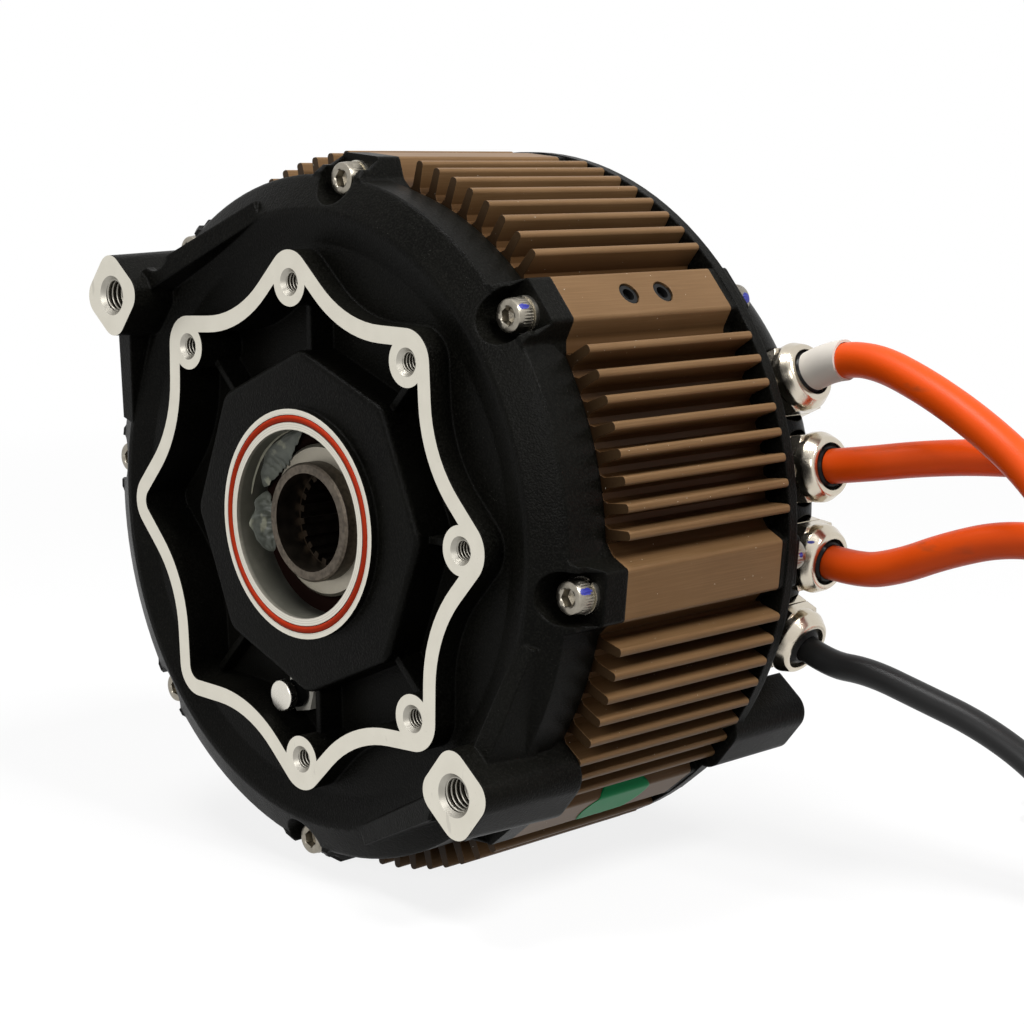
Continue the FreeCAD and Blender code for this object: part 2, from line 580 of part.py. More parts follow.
fins = housing.newObject("PartDesign::MultiTransform", "fins")
fins.Originals = [fin]
sector = around(housing, "fins_between_lands", [], 8, "7 * fin_pitch_angle")
sectors = around(housing, "fins_all_round", [], 8)
fins.Transformations = [sector, sectors]
housing.Tip = fins


# The rear cover: a flange, a drum with the seats of the cable glands, and the rear bearing's hub.
rear = new_body("rear_cover")
spun(rear, "rear_wall", [[
    (0, "drum_rear"), ("drum_radius - drum_edge", "drum_rear"), ("drum_radius", "drum_rear - drum_edge"),
    ("drum_radius", "rear_flange_rear"), ("rear_flange_radius - 1", "rear_flange_rear"),
    ("rear_flange_radius", "rear_flange_rear - 1"), ("rear_flange_radius", "rear_joint"),
    ("register_radius", "rear_joint"), ("register_radius", "rear_joint - register_length"),
    ("register_inner_radius", "rear_joint - register_length"),
    ("register_inner_radius", "rear_flange_rear + 1.5"),
    ("drum_inner_radius", "rear_flange_rear + 7.5"), ("drum_inner_radius", "drum_inner_face"),
    ("rear_bearing_radius + hub_wall", "drum_inner_face"),
    ("rear_bearing_radius + hub_wall", "rear_bearing_front"),
    ("rear_bearing_radius", "rear_bearing_front"),
    ("rear_bearing_radius", "rear_bearing_front + rear_bearing_length"),
    ("sensor_room_radius", "rear_bearing_front + rear_bearing_length"),
    ("sensor_room_radius", "sensor_room_rear"), (0, "sensor_room_rear")]])
REAR_LAND = [("valley_radius + joint_play * 2", corner[1]) if i in (0, 5) else corner
             for i, corner in enumerate(LAND)]
land = across(rear, "rear_land", [REAR_LAND], "land_rear", "rear_screw_seat", turn="land_angle")
rear_hole = across(rear, "rear_screw_hole", [("screw_circle_radius", 0, "screw_radius + screw_play")],
                   "land_rear - 1", "rear_screw_seat + 1", cut=True, turn="land_angle")
around(rear, "rear_lands", [land, rear_hole], 8)
boss = across(rear, "rear_boss", [BOSS], "rear_joint", "boss_rear", turn="boss_turn", centre=BOSS_CENTRE)
around(rear, "rear_bosses", [boss], 2)
boss_hole = drilled(rear, "rear_boss_thread", BOSS_AXIS[:1] + ("boss_rear",) + BOSS_AXIS[2:],
                    "boss_thread_radius", "boss_thread_depth", "boss_chamfer_radius", -1)
around(rear, "rear_boss_threads", [boss_hole], 2)
seat = spun(rear, "gland_seat", [[
    ("drum_inner_radius - 2", 0), ("drum_radius + 4", 0), ("drum_radius + 4", "gland_spot_radius"),
    ("gland_seat_radius", "gland_spot_radius"),
    ("gland_seat_radius", "gland_thread_radius + gland_thread_play"),
    ("drum_inner_radius - 2", "gland_thread_radius + gland_thread_play")]],
    True, "H_Axis", (0, "gland_station", 0), "gland_first_angle")
around(rear, "gland_seats", [seat], 4, "3 * gland_pitch_angle")


def cover_screws(label, seat, outward):
    """Eight socket-head screws with their split washers; outward is -1 at the front and 1 at the rear."""
    under_head = f"({seat}) + {outward} * washer_thickness"
    top = f"{under_head} + {outward} * screw_head_height"
    axis = (SCREW_AXIS[0], 0, SCREW_AXIS[1])
    screws = new_body(f"{label}_cover_screws")
    shape = spun(screws, f"{label}_screw", [[
        (0, top), ("screw_head_radius - 0.4", top), ("screw_head_radius", f"{top} - {outward} * 0.4"),
        ("screw_head_radius", under_head), ("screw_radius", under_head),
        ("screw_radius", f"{under_head} - {outward} * screw_reach"),
        (0, f"{under_head} - {outward} * screw_reach")]], base=axis)
    start, end = (top, f"{top} + screw_key_depth") if outward < 0 else (f"{top} - screw_key_depth", top)
    key = across(screws, f"{label}_screw_key", [hexagon("screw_key")], start, end, cut=True,
                 centre=SCREW_AXIS)
    around(screws, f"{label}_screw_circle", [shape, key], 8)
    washers = new_body(f"{label}_lock_washers")
    start, end = (under_head, seat) if outward < 0 else (seat, under_head)
    ring = across(washers, f"{label}_washer", [(0, 0, "washer_radius"),
                                               (0, 0, "screw_radius + screw_thread_play")],
                  start, end, centre=SCREW_AXIS)
    split = across(washers, f"{label}_washer_split", [box(0, "washer_radius + 1", "-washer_split / 2",
                                                          "washer_split / 2")],
                   start, end, cut=True, centre=SCREW_AXIS, turn="land_angle + 60")
    around(washers, f"{label}_washer_circle", [ring, split], 8)


cover_screws("front", "screw_seat", -1)
cover_screws("rear", "rear_screw_seat", 1)

# Two threaded plugs close the filling holes in the land at the upper right.
plugs = new_body("land_plugs")
for i, station in enumerate(("plug_first_station", "plug_second_station")):
    spun(plugs, f"land_plug_{i}", [[
        ("land_reach - plug_sink - plug_length", 0), ("land_reach - plug_sink - 1.6", 0),
        ("land_reach - plug_sink - 1.6", "plug_key / 2"), ("land_reach - plug_sink", "plug_key / 2 + 0.2"),
        ("land_reach - plug_sink", "plug_radius - 0.3"), ("land_reach - plug_sink - 0.3", "plug_radius"),
        ("land_reach - plug_sink - plug_length", "plug_radius")]],
        False, "H_Axis", (0, station, 0), "land_angle")

# The sealing ring in the face of the lip.
face_ring = doc.addObject("Part::Torus", "face_o_ring")
face_ring.Label = "face_o_ring"
bind(face_ring, Radius1="face_ring_radius", Radius2="face_ring_section")
face_ring.Placement = Placement(Vector(0, measure("face_groove_depth - face_ring_section"), 0),
                                Rotation(Vector(1, 0, 0), 90))
bind_path(face_ring, "Placement.Base.y", "face_groove_depth - face_ring_section")
parts.append(face_ring)

# The vent plug: a hexagon in the floor of the recess, a rubber neck and a flat cap.
VENT_AXIS = (VENT[0], 0, VENT[1])
vent = new_body("vent_plug_body")
across(vent, "vent_hexagon", [hexagon("vent_key")], "recess_floor - vent_key_height", "recess_floor",
       centre=VENT, turn=12)
spun(vent, "vent_stem", [[
    (0, "vent_cap_front + vent_cap_height"), ("vent_neck_radius - 1", "vent_cap_front + vent_cap_height"),
    ("vent_neck_radius - 1", "recess_floor - vent_key_height"),
    ("vent_thread_radius", "recess_floor - vent_key_height"), ("vent_thread_radius", "cover_inner_face"),
    (0, "cover_inner_face")]], base=VENT_AXIS)
neck = new_body("vent_plug_seal")
spun(neck, "vent_neck", [[("vent_neck_radius - 1", "vent_cap_front + vent_cap_height"),
                          ("vent_neck_radius", "vent_cap_front + vent_cap_height"),
                          ("vent_neck_radius + 0.5", "recess_floor - vent_key_height", 0.6),
                          ("vent_neck_radius - 1", "recess_floor - vent_key_height")]], base=VENT_AXIS)
cap = new_body("vent_plug_cap")
spun(cap, "vent_cap", [[(0, "vent_cap_front"), ("vent_cap_radius", "vent_cap_front", 0.6),
                        ("vent_cap_radius", "vent_cap_front + vent_cap_height"),
                        (0, "vent_cap_front + vent_cap_height")]], base=VENT_AXIS)

# The shaft with its internal splines, and what it carries.
shaft = new_body("rotor_shaft")
spun(shaft, "shaft_body", [[
    ("shaft_bore_radius", "shaft_front"), ("shaft_front_radius - 0.6", "shaft_front"),
    ("shaft_front_radius", "shaft_front + 0.6"), ("shaft_front_radius", "front_bearing_front"),
    ("front_journal_radius", "front_bearing_front"),
    ("front_journal_radius", "front_bearing_front + front_bearing_length"),
    ("shaft_collar_radius", "front_bearing_front + front_bearing_length"),
    ("shaft_collar_radius", "core_front"), ("shaft_core_radius", "core_front"),
    ("shaft_core_radius", "core_rear + retaining_ring_thickness + 2"),
    ("shaft_rear_radius", "core_rear + retaining_ring_thickness + 4"),
    ("shaft_rear_radius", "rear_bearing_front"), ("rear_journal_radius", "rear_bearing_front"),
    ("rear_journal_radius", "shaft_rear"), (0, "shaft_rear"),
    (0, "spline_rear + 6"), ("spline_tip_radius", "spline_rear + 3"),
    ("spline_tip_radius", "spline_front"), ("shaft_bore_radius", "spline_front")]])
space = across(shaft, "spline_space", [[
    ("spline_tip_radius - 0.6", "-spline_space_half * 0.8"), ("spline_root_radius", "-spline_space_half"),
    ("spline_root_radius", "spline_space_half"), ("spline_tip_radius - 0.6", "spline_space_half * 0.8")]],
    "spline_front", "spline_rear", cut=True)
around(shaft, "splines", [space], "spline_count")
spun(shaft, "ring_groove", [box("shaft_core_radius - 1", "shaft_core_radius + 1", "core_rear",
                                "core_rear + retaining_ring_thickness")], True)

sleeve = new_body("seal_sleeve")
spun(sleeve, "seal_sleeve_ring", [[
    ("shaft_front_radius + 0.02", "seal_sleeve_front"), ("seal_sleeve_radius - 0.8", "seal_sleeve_front"),
    ("seal_sleeve_radius", "seal_sleeve_front + 0.8"), ("seal_sleeve_radius", "front_bearing_front"),
    ("shaft_front_radius + 0.02", "front_bearing_front")]])
seal = new_body("shaft_seal")
spun(seal, "shaft_seal_ring", [[
    ("seal_sleeve_radius + seal_play", "seal_front + 1"), ("seal_sleeve_radius + 1.2", "seal_front"),
    ("bore_radius", "seal_front"), ("bore_radius", "seal_front + seal_length"),
    ("seal_sleeve_radius + 2.2", "seal_front + seal_length"),
    ("seal_sleeve_radius + 1.6", "seal_front + 1 + seal_lip_length"),
    ("seal_sleeve_radius + seal_play", "seal_front + 1 + seal_lip_length")]])


def bearing(label, front, length, outside, journal):
    """A deep-groove ball bearing: two races, and the balls in their cage."""
    pitch = f"(({outside}) + ({journal})) / 2"
    ball = f"(({outside}) - ({journal})) * ball_share"
    middle = f"({front}) + ({length}) / 2"
    shoulder = f"({ball}) * 0.62"
    races = (("outer", f"{pitch} + {shoulder}", outside), ("inner", journal, f"{pitch} - {shoulder}"))
    for name, inner, outer in races:
        race = new_body(f"{label}_bearing_{name}_race")
        spun(race, f"{label}_{name}_ring", [box(inner, outer, front, f"({front}) + ({length})")])
        spun(race, f"{label}_{name}_track", [(pitch, middle, f"{ball} + ball_play")], True)
    balls = new_body(f"{label}_bearing_balls")
    spun(balls, f"{label}_cage", [box(f"{pitch} - 1", f"{pitch} + 1", f"{middle} - cage_half_width",
                                      f"{middle} + cage_half_width")])
    sphere = balls.newObject("PartDesign::AdditiveSphere", f"{label}_ball")
    bind(sphere, Radius=ball)
    sphere.Placement = Placement(Vector(measure(pitch), measure(middle), 0), Rotation())
    bind_path(sphere, "Placement.Base.x", pitch)
    bind_path(sphere, "Placement.Base.y", middle)
    around(balls, f"{label}_balls", [sphere], "bearing_count")


for end in ("front", "rear"):
    bearing(end, f"{end}_bearing_front", f"{end}_bearing_length", f"{end}_bearing_radius",
            f"{end}_journal_radius")

core = new_body("rotor_core")
across(core, "rotor_stack", [(0, 0, "core_radius"), (0, 0, "shaft_core_radius")], "core_front", "core_rear")
hole = across(core, "rotor_hole", [("core_hole_circle", 0, "core_hole_radius")], "core_front", "core_rear",
              cut=True)
around(core, "rotor_holes", [hole], 8)
magnets = new_body("rotor_magnets")
magnet_ring = across(magnets, "magnet_ring", [(0, 0, "magnet_radius"), (0, 0, "core_radius")],
                     "core_front", "core_rear")
gap = across(magnets, "magnet_gap", [box("core_radius - 1", "magnet_radius + 1",
                                         "-core_radius * sin(22.5 - magnet_half_angle)",
                                         "core_radius * sin(22.5 - magnet_half_angle)")],
             "core_front", "core_rear", cut=True, turn=22.5)
around(magnets, "magnet_gaps", [gap], 8)
keeper = new_body("rotor_retaining_ring")
across(keeper, "retaining_ring", [(0, 0, "retaining_ring_radius"), (0, 0, "shaft_core_radius - 0.9")],
       "core_rear", "core_rear + retaining_ring_thickness")
across(keeper, "retaining_ring_opening", [box(0, "retaining_ring_radius + 1", -2.5, 2.5)],
       "core_rear", "core_rear + retaining_ring_thickness", cut=True, turn=90)

stator = new_body("stator_core")
across(stator, "stator_stack", [(0, 0, "housing_bore_radius"), (0, 0, "stator_inner_radius")],
       "stator_front", "stator_rear")
slot = across(stator, "slot", [[
    ("stator_inner_radius - 1", "-slot_mouth_half"), ("slot_neck_radius - 1.2", "-slot_mouth_half"),
    ("slot_neck_radius", "-slot_neck_half"), ("slot_root_radius", "-slot_root_half"),
    ("slot_root_radius", "slot_root_half"), ("slot_neck_radius", "slot_neck_half"),
    ("slot_neck_radius - 1.2", "slot_mouth_half"), ("stator_inner_radius - 1", "slot_mouth_half")]],
    "stator_front", "stator_rear", cut=True)
around(stator, "slots", [slot], "slot_count")
windings = new_body("stator_windings")
across(windings, "front_winding_head", [(0, 0, "winding_outer_radius"), (0, 0, "winding_inner_radius")],
       "winding_front", "stator_front - winding_play")
across(windings, "rear_winding_head", [(0, 0, "winding_outer_radius"), (0, 0, "winding_inner_radius")],
       "stator_rear + winding_play", "winding_rear")
bar = across(windings, "slot_winding", [[
    ("slot_neck_radius + winding_play", "-(slot_neck_half - winding_play)"),
    ("slot_root_radius - winding_play", "-(slot_root_half - winding_play)"),
    ("slot_root_radius - winding_play", "slot_root_half - winding_play"),
    ("slot_neck_radius + winding_play", "slot_neck_half - winding_play")]],
    "stator_front - winding_play - 1", "stator_rear + winding_play + 1")
around(windings, "slot_windings", [bar], "slot_count")

sensor_magnet = new_body("sensor_magnet")
across(sensor_magnet, "sensor_disc", [(0, 0, "sensor_magnet_radius")], "shaft_rear",
       "shaft_rear + sensor_magnet_length")
board = new_body("sensor_board")
across(board, "sensor_plate", [(0, 0, "sensor_board_radius")], "sensor_room_rear - sensor_board_thickness",
       "sensor_room_rear")


def gland(number, cable):
    """A cable gland: a body in the drum's wall, its dome nut, and the rubber that grips the cable."""
    angle = f"gland_first_angle - {number - 1} * gland_pitch_angle"
    place = (0, "gland_station", 0)
    seat = "gland_seat_radius"
    nut_start = f"{seat} + gland_body_height + gland_nut_gap"
    mouth = f"{seat} + gland_length"
    sleeve_end = f"{seat} + gland_sleeve_length"

    def turned(body, name, corners, cut=False):
        return spun(body, f"{name}_{number}", [corners], cut, "H_Axis", place)

    def hexagon_pad(body, name, start, height):
        drawing = draw(body, f"{name}_{number}", [hexagon("gland_key")], "YZ_Plane",
                       ("gland_station", 0, start))
        feature = body.newObject("PartDesign::Pad", f"{name}_{number}")
        feature.Profile = drawing
        bind(feature, Length=height)

    pieces = [new_body(f"gland_{part}_{number}") for part in ("body", "nut", "seal")]
    hexagon_pad(pieces[0], "gland_hexagon", seat, "gland_body_height")
    turned(pieces[0], "gland_stem", [
        ("drum_inner_radius - 1", f"{cable} - 1"), ("drum_inner_radius - 1", "gland_thread_radius"),
        (f"{seat} + 1", "gland_thread_radius"), (f"{seat} + 1", "gland_sleeve_radius"),
        (sleeve_end, "gland_sleeve_radius"), (sleeve_end, f"{cable} - 1")])
    turned(pieces[0], "gland_bore", box("drum_inner_radius - 2", sleeve_end, 0, f"{cable} - 1"), True)
    hexagon_pad(pieces[1], "nut_hexagon", nut_start, "gland_nut_key_height")
    turned(pieces[1], "nut_dome", [
        (f"{nut_start} + 1", "gland_sleeve_radius + joint_play"),
        (f"{nut_start} + 1", "gland_dome_radius - 1"),
        (f"{nut_start} + gland_nut_key_height", "gland_dome_radius"),
        (f"{nut_start} + gland_nut_key_height + 2", "gland_dome_radius", 2),
        (mouth, "gland_mouth_radius + 1.4", 1.2), (mouth, "gland_mouth_radius"),
        (f"{mouth} - 1.2", "gland_mouth_radius"), (f"{mouth} - 1.2", "gland_sleeve_radius + joint_play")])
    turned(pieces[1], "nut_bore", box(f"{nut_start} - 1", f"{mouth} - 1.2", 0,
                                      "gland_sleeve_radius + joint_play"), True)
    turned(pieces[2], "gland_rubber", [
        (sleeve_end, f"{cable} + joint_play"), (sleeve_end, "gland_sleeve_radius"),
        (f"{mouth} - 1.2", "gland_sleeve_radius"), (f"{mouth} - 1.2", "gland_mouth_radius - joint_play"),
        (f"{mouth} + 0.3", f"{cable} + 0.5"), (f"{mouth} + 0.3", f"{cable} + joint_play")])
    for piece in pieces:
        piece.Placement = Placement(Vector(), Rotation(Vector(0, -1, 0), measure(angle)))


for number in (1, 2, 3, 4):
    gland(number, "signal_cable_radius" if number == 4 else "phase_cable_radius")


# The cables come straight out of their glands, hang down beside the motor and lie on the surface.
# A route is the length of its first run, along the gland's axis, and the points after it. A point
# without a height rests on the surface.
ROUTES = {
    "phase_cable_1": (13, [
        (102, 108.9, 40.3), (119.3, 105.5, 35), (136.9, 102.2, 27.3), (154, 99.5, 17), (168, 98.3, 2.1),
        (178.5, 98.5, -16.5), (186, 100.5, -38), (190.5, 104.5, -60), (192.7, 111.9, -78),
        (194.1, 126.4, -88.6), (195.9, 145.5, None), (194.7, 165.7, None), (185.4, 180.9, None),
        (170.5, 191.5, None), (152.5, 195.3, None), (136, 195.6, None), (121, 195.2, None)]),
    "phase_cable_2": (15, [
        (113.3, 113.1, 15.4), (131.5, 116.3, 17), (152.1, 119.2, 16.9), (172, 121.5, 10), (188, 124.5, -5.5),
        (198, 129, -26.5), (203.5, 135.5, -48.5), (206, 145, -69.5), (206.8, 159.5, -84.5),
        (206.3, 177, None), (201, 194, None), (188.5, 206, None), (170.5, 210, None), (150, 210.5, None)]),
    "phase_cable_3": (14, [
        (109.5, 110.3, -12.6), (123, 111, -7), (138, 113, -2.6), (153, 114.5, -2.5), (167, 116, -9.5),
        (177, 118.5, -23), (182.5, 122, -40), (184, 127.5, -58), (183.8, 136.5, -75), (181.4, 150.5, -87),
        (175.9, 165.8, None), (163.9, 177.1, None), (148.2, 181.6, None), (129, 181.3, None)]),
    "signal_cable": (12, [
        (99.6, 111.2, -41.8), (114.9, 112.1, -46.1), (132.2, 113.7, -51.2), (148, 115.2, -59.5),
        (160.4, 117, -71.5), (169, 114, -82.7), (178, 104.2, -90.7), (185.8, 89.9, None),
        (190.5, 78.9, None)]),
}


def route_points(label, number, radius):
    """The points of a route, from the clamping sleeve of its gland to the cable's free end."""
    angle = measure(f"gland_first_angle - {number - 1} * gland_pitch_angle")
    out = Vector(math.cos(math.radians(angle)), 0, math.sin(math.radians(angle)))
    start = measure("gland_seat_radius + gland_sleeve_length")
    first_run, after = ROUTES[label]
    along_axis = [out * (start + reach) + Vector(0, measure("gland_station"), 0) for reach in (0, first_run)]
    rest = measure("floor_level") + radius
    return along_axis + [Vector(x, y, rest if z is None else z) for x, y, z in after]


def rounded_path(points):
    """Straight runs joined by tangent arcs, each as large as its two runs allow."""
    edges = []
    radii = []
    last = points[0]
    for before, at, after in zip(points, points[1:], points[2:]):
        back = before - at
        ahead = after - at
        half_turn = (math.pi - back.getAngle(ahead)) / 2
        reach = 0.45 * min(back.Length, ahead.Length)
        radii.append(reach / math.tan(half_turn))
        back.normalize()
        ahead.normalize()
        middle = at + (back + ahead).normalize() * radii[-1] * (1 / math.cos(half_turn) - 1)
        edges.append(Part.LineSegment(last, at + back * reach).toShape())
        edges.append(Part.Arc(at + back * reach, middle, at + ahead * reach).toShape())
        last = at + ahead * reach
    edges.append(Part.LineSegment(last, points[-1]).toShape())
    return edges, radii


def tube(edges, radius):
    """A round solid along a path."""
    path = Part.Wire(edges)
    start = edges[0].valueAt(edges[0].FirstParameter)
    direction = edges[0].tangentAt(edges[0].FirstParameter)
    ring = Part.Wire([Part.makeCircle(radius, start, direction)])
    return path.makePipeShell([ring], True, False)


def trimmed(edge, length):
    """The first stretch of an edge, of this length."""
    first = edge.FirstParameter
    return edge.Curve.toShape(first, edge.getParameterByLength(length))


def add_shape(label, shape):
    feature = doc.addObject("Part::Feature", label)
    feature.Label = label
    feature.Shape = shape
    parts.append(feature)
    return feature


def cable_end(points):
    """The frame of a cable's free end: X runs on along the cable and Z is up."""
    ahead = (points[-1] - points[-2]).normalize()
    side = Vector(0, 0, 1).cross(ahead)
    turn = FreeCAD.Matrix(ahead.x, side.x, 0, points[-1].x, ahead.y, side.y, 0, points[-1].y,
                          0, 0, 1, points[-1].z, 0, 0, 0, 1)
    return Placement(turn)


def cable_lug(label, place):
    """A ring lug: a crimped barrel over the cable's end, and a flat tongue with a hole."""
    overlap, length = measure("lug_overlap"), measure("lug_barrel_length")
    thickness, ring_radius = measure("lug_thickness"), measure("lug_ring_radius")
    cable_radius = measure("phase_cable_radius")
    barrel = Part.makeCylinder(cable_radius + measure("lug_wall"), length, Vector(-overlap, 0, 0),
                               Vector(1, 0, 0))
    ring_x = length - overlap + ring_radius + 2
    tongue = Part.makeBox(ring_x - (length - overlap) + 2, ring_radius * 1.5, thickness,
                          Vector(length - overlap - 2, -ring_radius * 0.75, -thickness / 2))
    ring = Part.makeCylinder(ring_radius, thickness, Vector(ring_x, 0, -thickness / 2))
    hole = Part.makeCylinder(measure("lug_hole_radius"), thickness * 3, Vector(ring_x, 0, -thickness * 1.5))
    room = Part.makeCylinder(cable_radius, overlap, Vector(-overlap, 0, 0), Vector(1, 0, 0))
    shape = barrel.fuse([tongue, ring]).cut([hole, room]).removeSplitter()
    add_shape(label, shape).Placement = place


def signal_plug(label, place):
    """A rectangular connector with an open end, on the end of the signal cable."""
    length, width = measure("plug_body_length"), measure("plug_body_width")
    height, wall = measure("plug_body_height"), measure("plug_wall")
    shell = Part.makeBox(length, width, height, Vector(0, -width / 2, -height / 2))
    shell = shell.makeFillet(1.0, [edge for edge in shell.Edges if abs(edge.tangentAt(0).x) > 0.9])
    mouth = Part.makeBox(measure("plug_mouth_depth"), width - 2 * wall, height - 2 * wall,
                         Vector(length - measure("plug_mouth_depth"), -width / 2 + wall, -height / 2 + wall))
    add_shape(label, shell.cut(mouth)).Placement = place


for number, label in enumerate(ROUTES, start=1):
    radius = measure("signal_cable_radius" if number == 4 else "phase_cable_radius")
    points = route_points(label, number, radius)
    edges, radii = rounded_path(points)
    cable = add_shape(label, tube(edges, radius))
    length = sum(edge.Length for edge in edges)
    print(f"{label}: length {length:.1f}, smallest radius {min(radii):.1f}, volume ratio "
          f"{cable.Shape.Volume / (length * math.pi * radius ** 2):.5f}")
    if number == 4:
        signal_plug("signal_connector", cable_end(points))
    else:
        cable_lug(f"cable_lug_{number}", cable_end(points))
    if number == 1:
        straight = edges[0].Length
        lead = measure("gland_length - gland_sleeve_length") + 0.4
        wall = measure("cable_sleeve_wall")
        first = Part.LineSegment(edges[0].valueAt(edges[0].FirstParameter + lead),
                                 edges[0].valueAt(edges[0].LastParameter)).toShape()
        bend = trimmed(edges[1], measure("cable_sleeve_length") - (straight - lead))
        outer = tube([first, bend], radius + wall)
        inner = tube([first, bend], radius + 0.02)
        add_shape("cable_sleeve", outer.cut(inner))

doc.recompute()
for thing in doc.Objects:
    if "Invalid" in thing.State or "Error" in thing.State:
        raise ValueError(f"{thing.Label} didn't compute: {thing.State}")
for part in parts:
    if part.Shape.isNull() or not part.Shape.isValid():
        raise ValueError(f"{part.Label} has no valid shape")

os.makedirs("parts", exist_ok=True)
for part in parts:
    part.Shape.exportStep(f"parts/{part.Label}.step")
    print(f"{part.Label}: {len(part.Shape.Solids)} solids, {part.Shape.Volume:.0f} mm3")
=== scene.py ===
# %% [markdown]
# # An electric dirt bike motor
#
# The solids of the motor come ready made, in metres: its axis is Y, the face of its gearbox flange looks
# towards -Y, and the cables leave on the +X side. This lesson gives them their finishes and adds what solids
# leave out: threads, knurls, paint marks, grease and dust.

# %% Load the motor's solids
import json
import math

import bmesh
import bpy
from mathutils import Matrix, Vector, noise


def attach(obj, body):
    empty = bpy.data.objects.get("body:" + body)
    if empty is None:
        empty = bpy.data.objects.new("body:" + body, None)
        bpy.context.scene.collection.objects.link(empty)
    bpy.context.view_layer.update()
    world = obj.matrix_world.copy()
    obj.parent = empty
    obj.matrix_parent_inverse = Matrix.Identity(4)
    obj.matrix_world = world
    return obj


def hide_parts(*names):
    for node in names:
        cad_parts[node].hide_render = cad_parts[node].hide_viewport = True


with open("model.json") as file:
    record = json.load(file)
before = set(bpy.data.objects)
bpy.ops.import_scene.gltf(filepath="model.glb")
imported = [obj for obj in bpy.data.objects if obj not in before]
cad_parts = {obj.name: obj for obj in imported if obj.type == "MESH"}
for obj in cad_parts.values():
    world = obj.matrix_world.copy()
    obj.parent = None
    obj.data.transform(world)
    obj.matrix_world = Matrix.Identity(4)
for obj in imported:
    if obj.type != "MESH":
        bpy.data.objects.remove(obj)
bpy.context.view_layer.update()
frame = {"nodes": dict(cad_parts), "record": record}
MM = 0.001
scene = bpy.context.scene


def put(name, data):
    """An object with this data, in the scene."""
    one = bpy.data.objects.new(name, data)
    scene.collection.objects.link(one)
    return one


# %% [markdown]
# ## Camera
#
# The photograph looks at the motor from 45 degrees to the right of its axis and 8 degrees above it, from
# 0.56 m away. The camera's turn is written as its three directions.

# %% Place the camera
CAMERA_PLACE = Vector((0.43294, -0.34675, 0.08479))
TO_RIGHT = (0.70152, 0.71256, -0.01122)
TO_TOP = (-0.09718, 0.11124, 0.98903)
TO_BACK = (0.70599, -0.69274, 0.14728)
camera = put("camera", bpy.data.cameras.new("camera"))
scene.camera = camera
camera_turn = Matrix((TO_RIGHT, TO_TOP, TO_BACK)).transposed()
camera.matrix_world = Matrix.Translation(CAMERA_PLACE) @ camera_turn.to_4x4()
camera.data.sensor_width = 36
camera.data.lens = 76.42
camera.data.clip_start = 0.01
print("camera", round(CAMERA_PLACE.length, 3), "m from the flange's centre")

# %% [markdown]
# ## Cables
#
# Three limp orange phase cables and a black signal cable come straight out of their glands, hang down beside
# the motor and lie on the surface. A NURBS curve of order 3 lies as softly as such silicone cables do. The
# radius of its points gives the thickness, so that the box round the curve stays tight. Each row holds a
# cable's radius, its gland's angle, the straight run out of the gland, and the points, in mm and degrees; a
# point without a height lies on the surface.

# %% Lay the cables
FLOOR = -95.1 * MM
GLAND_STATION, GLAND_END = 110, 84
CABLES = {
    "phase_cable_1": (4.65, 24.17, 13, [
        (102, 108.9, 40.3), (119.3, 105.5, 35), (136.9, 102.2, 27.3), (154, 99.5, 17), (168, 98.3, 2.1),
        (178.5, 98.5, -16.5), (186, 100.5, -38), (190.5, 104.5, -60), (192.7, 111.9, -78),
        (194.1, 126.4, -88.6), (195.9, 145.5), (194.7, 165.7), (185.4, 180.9),
        (170.5, 191.5), (152.5, 195.3), (136, 195.6), (121, 195.2)]),
    "phase_cable_2": (4.65, 7.56, 15, [
        (113.3, 113.1, 15.4), (131.5, 116.3, 17), (152.1, 119.2, 16.9), (172, 121.5, 10), (188, 124.5, -5.5),
        (198, 129, -26.5), (203.5, 135.5, -48.5), (206, 145, -69.5), (206.8, 159.5, -84.5),
        (206.3, 177), (201, 194), (188.5, 206), (170.5, 210), (150, 210.5)]),
    "phase_cable_3": (4.65, -9.05, 14, [
        (109.5, 110.3, -12.6), (123, 111, -7), (138, 113, -2.6), (153, 114.5, -2.5), (167, 116, -9.5),
        (177, 118.5, -23), (182.5, 122, -40), (184, 127.5, -58), (183.8, 136.5, -75), (181.4, 150.5, -87),
        (175.9, 165.8), (163.9, 177.1), (148.2, 181.6), (129, 181.3)]),
    "signal_cable": (3.7, -25.66, 12, [
        (99.6, 111.2, -41.8), (114.9, 112.1, -46.1), (132.2, 113.7, -51.2), (148, 115.2, -59.5),
        (160.4, 117, -71.5), (169, 114, -82.7), (178, 104.2, -90.7), (185.8, 89.9), (190.5, 78.9)]),
}


def outward(angle):
    """The direction away from the motor's axis at an angle in degrees."""
    turn = math.radians(angle)
    return Vector((math.cos(turn), 0, math.sin(turn)))


def about_axis(angle, reach, station, aside=0):
    """A point from its angle in degrees, its distance from the axis, its station and its shift sideways."""
    return outward(angle) * reach + outward(angle + 90) * aside + Vector((0, station, 0))


def cable_points(radius, angle, first_run, points):
    """The route of a cable in metres: two points on its gland's axis, and then the given ones."""
    middle = Vector((0, GLAND_STATION * MM, 0))
    start = [outward(angle) * (GLAND_END + run) * MM + middle for run in (0, first_run)]
    rest = FLOOR + radius * MM
    return start + [Vector((x * MM, y * MM, height[0] * MM if height else rest)) for x, y, *height in points]


